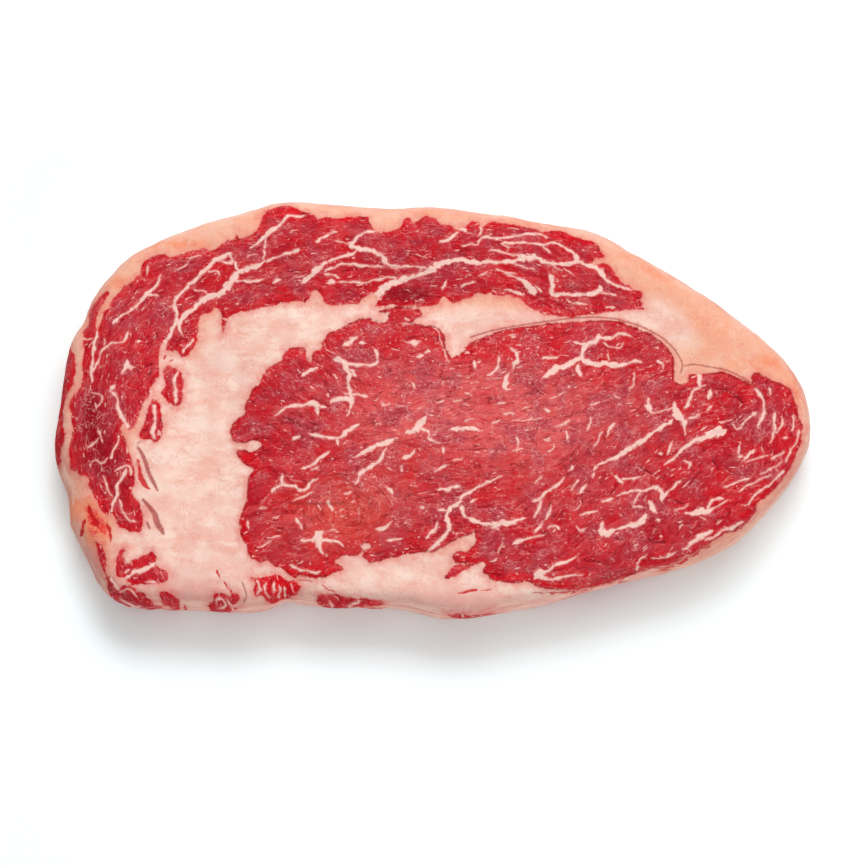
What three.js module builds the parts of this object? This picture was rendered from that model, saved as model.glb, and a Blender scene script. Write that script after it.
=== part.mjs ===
// A raw ribeye steak: one thick slice with a flat underside, bulging rounded sides and an uneven top face.
// Millimetres, +Z up. It lies on Z = 0 with its length along X and the broad fatty end at -X.
import * as THREE from "three";

// Driving dimensions.
const LENGTH = 211;
const WIDTH = 117;
const THICKNESS = 26;

// How the side is shaped, from the driving dimensions.
const WIDEST_HEIGHT = 0.42 * THICKNESS;
const UPPER_EDGE = 0.27 * THICKNESS;
const LOWER_EDGE = 0.3 * THICKNESS;
const UPPER_SQUARENESS = 2.7;
const LOWER_SQUARENESS = 2.3;

// The end where the slice slumps outwards, so that its top edge draws back from its foot.
const SLUMP = 0.2 * THICKNESS;
const SLUMP_CENTRE = [-0.93, -0.62];
const SLUMP_REACH = 0.34;

// Slow waves of the side, so that it isn't the same all the way up: waves round the slice,
// how far each leans over from foot to brow in turns, and its depth as a share of the thickness.
const SIDE_WAVES = [
  { count: 5, lean: 0.3, depth: 0.016 },
  { count: 9, lean: -0.45, depth: 0.013 },
  { count: 16, lean: 0.7, depth: 0.008 },
];

// How finely the surface is cut up.
const POINTS_AROUND = 156;
const LOWER_ROWS = 4;
const UPPER_ROWS = 6;
const TOP_RINGS = 13;
const UNDERSIDE_RINGS = 2;
const INNERMOST_RING = 0.1;

// The line the rings of the two faces close in on, as fractions of half the length.
const SPINE_START = -0.5;
const SPINE_END = 0.42;

// Outline of the slice at its widest height, anticlockwise from the +X tip:
// fractions of half the length and half the width.
const OUTLINE = [
  [1.0, -0.115],
  [0.943, 0.205],
  [0.761, 0.486],
  [0.52, 0.762],
  [0.413, 0.86],
  [0.277, 0.901],
  [0.116, 0.949],
  [-0.008, 0.976],
  [-0.105, 0.964],
  [-0.224, 0.981],
  [-0.408, 1.0],
  [-0.465, 0.968],
  [-0.63, 0.879],
  [-0.795, 0.742],
  [-0.9, 0.54],
  [-0.93, 0.392],
  [-0.96, 0.311],
  [-0.984, 0.031],
  [-1.0, -0.154],
  [-0.99, -0.306],
  [-0.961, -0.446],
  [-0.96, -0.568],
  [-0.937, -0.646],
  [-0.846, -0.906],
  [-0.607, -0.961],
  [-0.439, -0.956],
  [-0.382, -0.912],
  [-0.335, -0.937],
  [-0.112, -0.949],
  [0.068, -1.0],
  [0.428, -0.87],
  [0.755, -0.677],
  [0.931, -0.385],
];

// Swells and hollows of the top face: where each lies (fractions of half the length and half the width),
// its reach along and across in mm, how far it is turned in degrees, and how far it rises in mm.
const RELIEF = [
  { name: "eye muscle", at: [0.24, -0.16], along: 66, across: 31, turn: 8, rise: 1.5 },
  { name: "end of the eye muscle", at: [0.82, -0.05], along: 15, across: 22, turn: -20, rise: 0.7 },
  { name: "cap muscle", at: [-0.12, 0.74], along: 62, across: 9, turn: -3, rise: 1.4 },
  { name: "cap muscle at the broad end", at: [-0.84, 0.12], along: 10, across: 30, turn: -8, rise: 1.2 },
  { name: "kernel of fat", at: [-0.58, -0.16], along: 13, across: 34, turn: 6, rise: -1.2 },
  { name: "fat between the muscles", at: [0.14, 0.52], along: 44, across: 5, turn: -2, rise: -1.0 },
  { name: "hollow at the fork of the fat", at: [0.06, 0.36], along: 7, across: 8, turn: 20, rise: -0.7 },
  { name: "shoulder of fat", at: [0.7, 0.42], along: 24, across: 10, turn: -36, rise: 0.6 },
  { name: "fat along the lower edge", at: [0.0, -0.82], along: 30, across: 7, turn: -3, rise: -0.8 },
  { name: "crease in the lower edge", at: [-0.38, -0.86], along: 5, across: 9, turn: -15, rise: -1.6 },
  { name: "droop at the broad end", at: [-0.96, -0.5], along: 16, across: 30, turn: 0, rise: -2.6 },
  { name: "droop at the narrow end", at: [1.0, -0.1], along: 16, across: 36, turn: 0, rise: -2.0 },
];

function smoothOutline(points) {
  const corners = points.map(([u, v]) => new THREE.Vector3((u * LENGTH) / 2, (v * WIDTH) / 2, 0));
  const curve = new THREE.CatmullRomCurve3(corners, true, "centripetal");
  curve.arcLengthDivisions = 20 * points.length;
  return curve;
}

function nearestOnSpine(point) {
  const start = (SPINE_START * LENGTH) / 2;
  const end = (SPINE_END * LENGTH) / 2;
  return new THREE.Vector3(THREE.MathUtils.clamp(point.x, start, end), 0, 0);
}

function relief(x, y) {
  let height = 0;
  for (const swell of RELIEF) {
    const dx = x - (swell.at[0] * LENGTH) / 2;
    const dy = y - (swell.at[1] * WIDTH) / 2;
    const turn = THREE.MathUtils.degToRad(swell.turn);
    const along = (dx * Math.cos(turn) + dy * Math.sin(turn)) / swell.along;
    const across = (dy * Math.cos(turn) - dx * Math.sin(turn)) / swell.across;
    height += swell.rise * Math.exp(-(along * along + across * across));
  }
  return height;
}

function slumpAt(point) {
  const u = (2 * point.x) / LENGTH - SLUMP_CENTRE[0];
  const v = (2 * point.y) / WIDTH - SLUMP_CENTRE[1];
  return SLUMP * Math.exp(-(u * u + v * v) / (SLUMP_REACH * SLUMP_REACH));
}

// A quarter of a rounded square: how far in and how far up it is at this part of a quarter turn.
function roundedQuarter(part, squareness) {
  const angle = (part * Math.PI) / 2;
  return {
    inward: 1 - Math.pow(Math.max(Math.cos(angle), 0), 2 / squareness),
    upward: Math.pow(Math.sin(angle), 2 / squareness),
  };
}

function movedIn(point, distance) {
  const target = nearestOnSpine(point);
  const reach = point.distanceTo(target);
  return point.clone().lerp(target, distance / reach);
}

// How far the side draws in at this place, in mm: none at the foot and the brow, most halfway up.
function sideWave(point, height) {
  const round = Math.atan2(point.y / WIDTH, point.x / LENGTH);
  const level = height / THICKNESS;
  const share = Math.sin(Math.PI * THREE.MathUtils.clamp(level, 0, 1));
  let drawn = 0;
  for (const wave of SIDE_WAVES) {
    const phase = wave.count * round + 2 * Math.PI * wave.lean * level;
    drawn += wave.depth * THICKNESS * (0.5 + 0.5 * Math.sin(phase));
  }
  return share * drawn;
}

// The rings of points from the middle of the underside, round the side, to the middle of the top face.
function ringsOf(outline) {
  const rings = [];
  const footOf = (point) => movedIn(point, LOWER_EDGE);
  const browOf = (point) => movedIn(point, UPPER_EDGE + slumpAt(point));
  const share = (ring, count) => INNERMOST_RING + ((1 - INNERMOST_RING) * ring) / count;

  for (let ring = 0; ring < UNDERSIDE_RINGS; ring++) {
    const part = share(ring, UNDERSIDE_RINGS);
    rings.push(outline.map((point) => nearestOnSpine(point).lerp(footOf(point), part)));
  }
  for (let row = LOWER_ROWS; row > 0; row--) {
    const { inward, upward } = roundedQuarter(row / LOWER_ROWS, LOWER_SQUARENESS);
    const height = WIDEST_HEIGHT * (1 - upward);
    rings.push(
      outline.map((point) => movedIn(point, LOWER_EDGE * inward + sideWave(point, height)).setZ(height)),
    );
  }
  for (let row = 0; row <= UPPER_ROWS; row++) {
    const { inward, upward } = roundedQuarter(row / UPPER_ROWS, UPPER_SQUARENESS);
    rings.push(
      outline.map((point) => {
        const height = WIDEST_HEIGHT + (THICKNESS - WIDEST_HEIGHT) * upward;
        const wave = sideWave(point, height);
        const placed = movedIn(point, (UPPER_EDGE + slumpAt(point)) * inward + wave);
        const top = topHeight(placed.x, placed.y);
        return placed.setZ(WIDEST_HEIGHT + (top - WIDEST_HEIGHT) * upward);
      }),
    );
  }
  for (let ring = TOP_RINGS - 1; ring >= 0; ring--) {
    const part = share(ring, TOP_RINGS);
    rings.push(
      outline.map((point) => {
        const placed = nearestOnSpine(point).lerp(browOf(point), part);
        return placed.setZ(topHeight(placed.x, placed.y));
      }),
    );
  }
  return rings;
}

function highestRelief() {
  let highest = -Infinity;
  for (let x = -LENGTH / 2; x <= LENGTH / 2; x += 1) {
    for (let y = -WIDTH / 2; y <= WIDTH / 2; y += 1) {
      highest = Math.max(highest, relief(x, y));
    }
  }
  return highest;
}

const HIGHEST_RELIEF = highestRelief();

function topHeight(x, y) {
  return THICKNESS - HIGHEST_RELIEF + relief(x, y);
}

function skinBetween(rings) {
  const count = rings[0].length;
  const faces = [];
  for (let ring = 0; ring + 1 < rings.length; ring++) {
    for (let i = 0; i < count; i++) {
      const next = (i + 1) % count;
      const low = ring * count;
      const high = low + count;
      faces.push(low + i, low + next, high + next);
      faces.push(low + i, high + next, high + i);
    }
  }
  return faces;
}

// Zips the two long sides of a ring together, from its +X tip to its -X tip.
function closeRing(ring, firstIndex, facesUp) {
  const faces = [];
  let left = 0;
  let right = ring.length - 1;
  while (right - left > 1) {
    const leftIsNearer = ring[left + 1].x > ring[right - 1].x;
    const third = leftIsNearer ? left + 1 : right - 1;
    const corners = facesUp ? [left, third, right] : [right, third, left];
    faces.push(...corners.map((corner) => corner + firstIndex));
    if (leftIsNearer) left = third;
    else right = third;
  }
  return faces;
}

function steakGeometry() {
  const outline = smoothOutline(OUTLINE).getSpacedPoints(POINTS_AROUND).slice(0, POINTS_AROUND);
  const rings = ringsOf(outline);
  const points = rings.flat();
  const faces = [
    ...skinBetween(rings),
    ...closeRing(rings[0], 0, false),
    ...closeRing(rings[rings.length - 1], points.length - POINTS_AROUND, true),
  ];
  const geometry = new THREE.BufferGeometry().setFromPoints(points);
  geometry.setIndex(faces);
  geometry.computeBoundingBox();
  const middle = geometry.boundingBox.getCenter(new THREE.Vector3());
  geometry.translate(-middle.x, -middle.y, 0);
  geometry.computeVertexNormals();
  return geometry;
}

function steak() {
  const rawBeef = new THREE.MeshStandardMaterial({ color: 0xbf4a4c, roughness: 0.4, metalness: 0 });
  const mesh = new THREE.Mesh(steakGeometry(), rawBeef);
  mesh.name = "steak";
  return mesh;
}

const group = new THREE.Group();
group.add(steak());

export default group;
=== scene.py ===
"""A raw ribeye steak on a pale table: one thick slice with its eye and cap muscles, fat and marbling.

Places on the slice are in millimetres on its top face, X along the slice and Y across it, from the middle.
They are for a slice of NOMINAL_LENGTH, and follow the frame's own size.
"""

import math

import bpy
import numpy as np
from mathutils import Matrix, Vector
from mathutils.bvhtree import BVHTree


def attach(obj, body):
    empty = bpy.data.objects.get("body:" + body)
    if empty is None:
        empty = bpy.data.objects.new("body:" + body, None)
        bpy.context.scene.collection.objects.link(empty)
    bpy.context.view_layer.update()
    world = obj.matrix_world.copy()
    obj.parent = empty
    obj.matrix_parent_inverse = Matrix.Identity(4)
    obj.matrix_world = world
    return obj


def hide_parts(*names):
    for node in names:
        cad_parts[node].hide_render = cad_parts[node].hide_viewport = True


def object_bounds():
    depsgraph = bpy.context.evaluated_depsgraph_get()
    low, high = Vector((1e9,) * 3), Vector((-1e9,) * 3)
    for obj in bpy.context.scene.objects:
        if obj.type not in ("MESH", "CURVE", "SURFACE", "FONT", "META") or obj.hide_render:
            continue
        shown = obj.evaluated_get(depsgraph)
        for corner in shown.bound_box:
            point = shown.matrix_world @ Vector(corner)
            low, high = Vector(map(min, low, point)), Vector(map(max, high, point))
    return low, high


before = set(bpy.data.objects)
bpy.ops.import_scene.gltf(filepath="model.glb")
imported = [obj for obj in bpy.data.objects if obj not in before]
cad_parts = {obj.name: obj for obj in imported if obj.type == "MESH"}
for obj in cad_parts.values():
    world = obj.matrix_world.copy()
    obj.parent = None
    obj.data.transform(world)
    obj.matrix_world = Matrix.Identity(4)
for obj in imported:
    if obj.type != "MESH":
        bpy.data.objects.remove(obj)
CAD_LOW, CAD_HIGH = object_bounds()

NOMINAL_LENGTH = 210.5
LENGTH = CAD_HIGH.x - CAD_LOW.x
THICKNESS = CAD_HIGH.z - CAD_LOW.z
MM = LENGTH / NOMINAL_LENGTH
SEED = 20

# ---------------------------------------------------------------------------------------------------
# The plan of the cut face
# ---------------------------------------------------------------------------------------------------

# Outlines of the lean. Each is closed and drawn as a smooth curve.
LEAN = {
    "cap": [
        (-96.8, 20), (-94.9, 23), (-94.9, 26), (-92.5, 29.5), (-90, 31.8), (-89.5, 30.6), (-91.2, 28),
        (-92.7, 25), (-93, 22), (-92.6, 20.5), (-92, 22), (-91.2, 25), (-89.6, 26.6), (-88.5, 29),
        (-86.5, 31.5), (-84.5, 33), (-82.5, 34.8), (-81, 36.5), (-80.6, 38.8), (-79, 40.2), (-75, 41.8),
        (-73, 41.1), (-70.5, 41.5), (-67, 42.8), (-63.5, 43.2), (-61.5, 42.6), (-59, 44.3), (-56.5, 45.6),
        (-55, 45.8), (-54.5, 47.9), (-53.6, 45.8), (-52, 46.4), (-50, 47.4), (-48.6, 48), (-48, 50.3),
        (-47.1, 53), (-45.2, 54.9), (-42.5, 55.9), (-40.2, 56.1), (-38.2, 55.1), (-36, 53.9), (-33, 52.8),
        (-32, 51.3), (-30, 52.1), (-26, 51.8), (-22, 52.3), (-18.2, 52.3), (-17.8, 50.8), (-17, 49.9),
        (-16.8, 48.6), (-14, 47.8), (-11, 48.3), (-9.2, 49.4), (-8.4, 50.6), (-8.1, 51.9), (-6.2, 52.1),
        (-5.6, 50.7), (-4.4, 50.8), (-2.6, 52.3), (0, 52.2), (1.6, 51), (3.4, 50), (5.2, 49.6), (6, 48.6),
        (8.2, 48.9), (9.8, 50.1), (10.8, 51.1), (12.6, 50.5), (13.4, 49), (14.8, 50.1), (16.6, 50.7),
        (19.5, 50.6), (22.5, 50), (26, 49.4), (29, 48.8), (31, 48), (33.6, 48.6), (36.2, 48.1),
        (38.5, 46.9), (41.2, 46), (43.6, 45.6), (45.2, 44.7), (46.4, 43.3), (46.7, 42.1), (47.6, 41.4),
        (46.2, 40.8), (44.4, 40.6), (44.4, 39), (46.3, 39.1), (48.3, 38.9), (49.7, 37.5), (50.2, 35.8),
        (51.2, 35), (51.9, 34.2), (54.4, 32.9), (55.4, 31.9), (57.2, 31.5), (58.1, 30.6), (57.5, 29.5),
        (56.2, 28.8), (58.4, 28.5), (57.2, 27.7), (58.7, 26.2), (55, 26.4), (51, 25.9), (47, 25.4),
        (43, 24.8), (40, 24.4), (37, 24.2), (34, 24.6), (31, 25), (28.6, 26), (26.6, 27.3), (25, 28.8),
        (23, 29.8), (20.8, 30.2), (18, 30.5), (16.5, 30.5), (15.4, 31.3), (14, 30.5), (12, 31),
        (10.8, 30), (8.8, 29.4), (6.5, 28.4), (5, 28.5), (3.8, 29.6), (2.8, 29.9), (1.8, 28.7),
        (0.6, 27.6), (-3, 27.3), (-8, 27.4), (-12, 27.3), (-15.8, 27), (-15.2, 29.7), (-17, 30.7),
        (-19, 29.7), (-20.4, 28), (-22.4, 27.9), (-25, 27.6), (-27, 27.3), (-29.2, 27.6), (-30.4, 28.8),
        (-31, 30.6), (-32.5, 31.6), (-34, 30.9), (-34.5, 28.9), (-36, 28.3), (-38, 28.8), (-40, 28.3),
        (-43, 27.6), (-46, 27.2), (-48.5, 26.5), (-51, 26.1), (-53.5, 25.4), (-56, 24.4), (-57.2, 22.4),
        (-58.1, 19.8), (-58.5, 22.4), (-58.6, 25.4), (-60.2, 26.9), (-61.6, 25.4), (-63.4, 25.2),
        (-64.8, 23.4), (-65, 20), (-65.2, 17.4), (-66.5, 15.6), (-68, 13.6), (-69.6, 12.9), (-70.6, 14.6),
        (-72.6, 14.7), (-73.8, 15.4), (-73.6, 17), (-74.6, 17.4), (-75.3, 15.6), (-75.6, 13), (-75.5, 10),
        (-75.7, 8), (-76.4, 6.5), (-77.6, 4.9), (-77.4, 3.2), (-78, 2), (-79.4, 0.9), (-80.2, -1),
        (-81, -3.6), (-82, -6.1), (-83.4, -7.2), (-84.4, -6.4), (-85.2, -5), (-86.3, -7), (-85.6, -8.8),
        (-84.6, -10.8), (-83.4, -14), (-82.6, -17.8), (-81.9, -20), (-82.2, -22.6), (-83, -24.5),
        (-81.2, -27), (-80.2, -29), (-79.7, -31), (-79.9, -33.2), (-80.3, -35.2), (-81.8, -35.6),
        (-84, -34.9), (-86, -34.1), (-87, -32.1), (-88, -30.3), (-89, -29.9), (-89.6, -31),
        (-90.8, -29.8), (-92, -27.5), (-93.5, -25), (-94.8, -22.4), (-95, -20.5), (-97.5, -19.3),
        (-99.6, -18.1), (-100.4, -16.4), (-100.6, -13), (-99.9, -10), (-99, -7.2), (-99.7, -5),
        (-99.4, -3), (-100.1, -1), (-99.9, 1), (-98.5, 3), (-97, 5), (-96.5, 8), (-96.9, 11), (-96.4, 15),
    ],
    "eye": [
        (-55.9, -7.6), (-55.2, -5.6), (-53.6, -4), (-51.7, -2.4), (-51.7, -0.8), (-50.9, 1.2), (-50, 3.6),
        (-48.8, 5), (-47.5, 5.3), (-47.3, 7), (-46.3, 9), (-44.5, 10.6), (-42.1, 11.7), (-41.4, 13.2),
        (-40.3, 14.8), (-38.5, 15.6), (-36.2, 15.7), (-35, 14.9), (-34.8, 12.7), (-34.2, 11.2),
        (-33, 11.9), (-33.2, 13.6), (-32.4, 15), (-31, 15.2), (-30.8, 17), (-29.4, 18.7), (-28, 20),
        (-25.4, 21), (-23, 22.3), (-20.4, 23.5), (-17.4, 24.2), (-16.4, 23.3), (-14.6, 22.7),
        (-12.8, 23.3), (-12.6, 24.9), (-14.6, 25.5), (-15, 26.2), (-12.4, 26.5), (-10, 27), (-8, 26.6),
        (-5.6, 26.6), (-4, 26.5), (-3.2, 25.4), (-3.3, 24.3), (-5.2, 23.5), (-5.8, 22.7), (-3.6, 22),
        (-2, 21.5), (0, 21.6), (1.8, 20.9), (2.9, 19.4), (3.2, 17), (3.9, 14.4), (5.2, 12.7), (7, 13.4),
        (8.6, 14.7), (9, 16.2), (11, 17.1), (13, 18.3), (16, 19.4), (20, 20.5), (24, 21.3), (28, 21.7),
        (32, 22.5), (36, 22.8), (40, 22.8), (44, 23.2), (48, 23.3), (51, 22.9), (54, 21.8), (57, 20.7),
        (60, 19.3), (63, 17.2), (65, 15), (66.2, 12.6), (66.6, 9.8), (66.4, 7.4), (67.1, 5.7),
        (68.6, 5.4), (70.1, 6.2), (70.8, 7.9), (73, 8.2), (76, 8.4), (78, 8.8), (80, 8.6), (82, 7.9),
        (84, 7.1), (86, 6.2), (87.6, 5.2), (88.2, 6.2), (87.9, 7.8), (89.2, 8.8), (91, 7.9), (93, 6.8),
        (95, 6.1), (97, 5.2), (98.7, 3.8), (99.8, 1.6), (100.5, -1.4), (100.8, -4), (101.9, -5.4),
        (101.7, -9), (100.9, -12.5), (99.5, -15.8), (98.4, -18), (96.6, -20.5), (94.6, -23), (92.6, -25),
        (90.6, -26.5), (88.9, -28.1), (88.9, -29.5), (87.5, -31), (86, -32.6), (84, -34.3), (82, -35),
        (79.5, -36), (77, -37.6), (75, -39), (72.5, -40.3), (70, -41.5), (67.5, -43), (64.5, -44.2),
        (61, -45), (57.5, -46), (55, -47), (52, -48), (49, -49), (45, -50), (40, -50.8), (35, -51.2),
        (31, -50.9), (28, -50.4), (26.6, -49.4), (25.4, -48.9), (23, -49.5), (20, -49.3), (17, -49),
        (15.2, -48.4), (15, -47.4), (13.6, -46.1), (14.4, -45), (13, -43.6), (11.8, -44.4), (10, -44.4),
        (8, -44.1), (6.6, -43.9), (5.5, -42), (7, -40.9), (9.4, -40.9), (10.2, -39.8), (11.6, -38.8),
        (11.6, -37), (11.2, -35.1), (10, -36.4), (7.4, -37.2), (5.2, -38.2), (3, -39.6), (0.6, -40.8),
        (-1, -41.2), (-3, -40.8), (-5, -41.4), (-8, -41.9), (-10, -42.4), (-13, -42.8), (-15, -43.6),
        (-17.4, -43.9), (-19, -42.6), (-19, -41), (-17.6, -40), (-17, -39.1), (-18.6, -38.6),
        (-19.9, -39.2), (-19.6, -40.9), (-21, -41.7), (-23, -42), (-25, -42.1), (-26.6, -42.9),
        (-27, -44), (-25.4, -44.6), (-24.4, -45.1), (-24.6, -45.9), (-26.6, -46.4), (-28.6, -47.4),
        (-30, -48.4), (-31, -47.9), (-32.6, -48.3), (-35, -47.7), (-37, -47.3), (-38, -48),
        (-39.4, -47.5), (-39.9, -46.4), (-41, -45.9), (-43, -45), (-44.5, -43.7), (-45.6, -43.1),
        (-47, -43.8), (-49, -43.3), (-50.4, -42), (-51, -40), (-52.4, -37), (-53, -34.5), (-52.8, -31.5),
        (-51.8, -28.5), (-51, -25), (-50.6, -20), (-49.4, -18.4), (-50.4, -17.5), (-51.6, -16.8),
        (-53, -15.6), (-54, -13.9), (-53.4, -12.7), (-51.4, -13), (-49.6, -13.4), (-47.8, -12.4),
        (-46.8, -11.4), (-47.6, -10.5), (-49.6, -10.2), (-51.6, -10.7), (-53.6, -10.9), (-55.3, -9.6),
    ],
    "outer strip": [
        (-101.4, 15), (-100.4, 16), (-99.6, 15), (-98.9, 13), (-98.8, 8.5), (-99.6, 5.5), (-100.9, 2.5),
        (-101.8, 0.8), (-102.2, -3), (-102, -6), (-101.3, -7.6), (-101.6, -9.5), (-102.5, -11),
        (-103.1, -14), (-103.4, -17), (-105, -17.5), (-105.6, -10), (-105.2, -4), (-104.4, 4),
        (-102.8, 11),
    ],
    "upper islet": [
        (-73.4, 11.1), (-71.9, 10.1), (-70.4, 9.4), (-69.3, 8.7), (-69, 5), (-69.2, 1), (-70.2, -0.2),
        (-72, -0.1), (-73.3, 1), (-75, 2.4), (-75.3, 3.8), (-73.8, 5), (-74.2, 7), (-74.1, 9.2),
    ],
    "lower islet": [
        (-77.6, 1.4), (-76.1, 0.9), (-75, -0.5), (-74.8, -3), (-74.6, -6), (-74.8, -9.4), (-76.5, -10.5),
        (-78, -9.8), (-80.3, -9.8), (-80.7, -8.4), (-80, -5.5), (-79, -2.5), (-78.1, -0.5),
    ],
    "bow tie": [
        (-86.9, -42), (-86.3, -40.4), (-85, -40), (-84.5, -40.7), (-85.5, -41.7), (-84.6, -43.2),
        (-84, -44.5), (-82.5, -43.2), (-80.3, -42.5), (-79, -41.8), (-77.4, -40.9), (-76.1, -42.3),
        (-75.7, -44.8), (-73.6, -46), (-72.4, -47.8), (-73, -49.3), (-75.5, -49.6), (-78, -49.9),
        (-81.5, -49.9), (-83.5, -49.3), (-84.6, -48.1), (-86.1, -47.8), (-86.9, -46.4),
    ],
    "lower left strip": [
        (-93.4, -37.2), (-91.6, -39), (-90.5, -41), (-90.1, -43), (-90.4, -46.4), (-91.2, -45.4),
        (-91.9, -43), (-92.4, -40),
    ],
    "lower left corner": [
        (-90.4, -53), (-89.4, -50.5), (-89.6, -47.3), (-88.4, -47.5), (-87, -49.4), (-86, -50.9),
        (-84.5, -50.2), (-82, -50.8), (-81, -52), (-79.4, -52), (-78.3, -54), (-77, -55.5),
        (-74.6, -56.4), (-72.6, -57.2), (-75, -61), (-87, -60), (-91, -57),
    ],
    "lower fleck": [
        (-74.9, -52), (-73.5, -51.9), (-72, -52.5), (-70.8, -53.5), (-69.9, -54), (-70.5, -55.8),
        (-71.6, -55.5), (-73, -54.8), (-74.4, -54),
    ],
    "lower knot": [
        (-60, -52.5), (-58.5, -52.1), (-57, -52.5), (-56, -53.4), (-55.2, -52.3), (-54, -52.3),
        (-52.9, -53.8), (-54.2, -54.8), (-54.8, -55.5), (-53, -56.5), (-52.4, -59), (-57, -60),
        (-61.4, -59), (-61.9, -56), (-60.5, -54.4),
    ],
    "ragged corner": [
        (-50, -48), (-47, -48.2), (-45, -47.8), (-43, -47), (-40.6, -48), (-39.8, -49), (-38, -49),
        (-36.3, -50.4), (-37.5, -52.3), (-39.5, -53), (-40.8, -54.5), (-42, -53.8), (-43.5, -55.2),
        (-45, -54.5), (-47, -53), (-48.8, -53), (-49.3, -51), (-48.8, -49.5),
    ],
    "lower lens": [
        (-32, -53.4), (-30, -52.7), (-27.5, -52.5), (-25, -52.7), (-23, -53.3), (-20, -53.5),
        (-17, -53.6), (-14, -54.3), (-12.5, -55.5), (-11.8, -58), (-15, -60), (-20, -60), (-25, -60),
        (-30, -60), (-33, -58.5), (-34.4, -56.4), (-32.6, -55.5), (-31.7, -54.7),
    ],
    "lower wedge": [
        (3, -58.2), (7, -57.8), (12, -58), (17, -57.2), (20, -58.5), (16, -62.5), (7, -63), (3, -61),
    ],
    "lower flash": [
        (3.1, -48), (4, -47), (5, -45.5), (7, -44.7), (9.5, -44.8), (10.4, -45.3), (8, -46.5), (6, -47.7),
        (3.7, -48.6),
    ],
}

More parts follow.
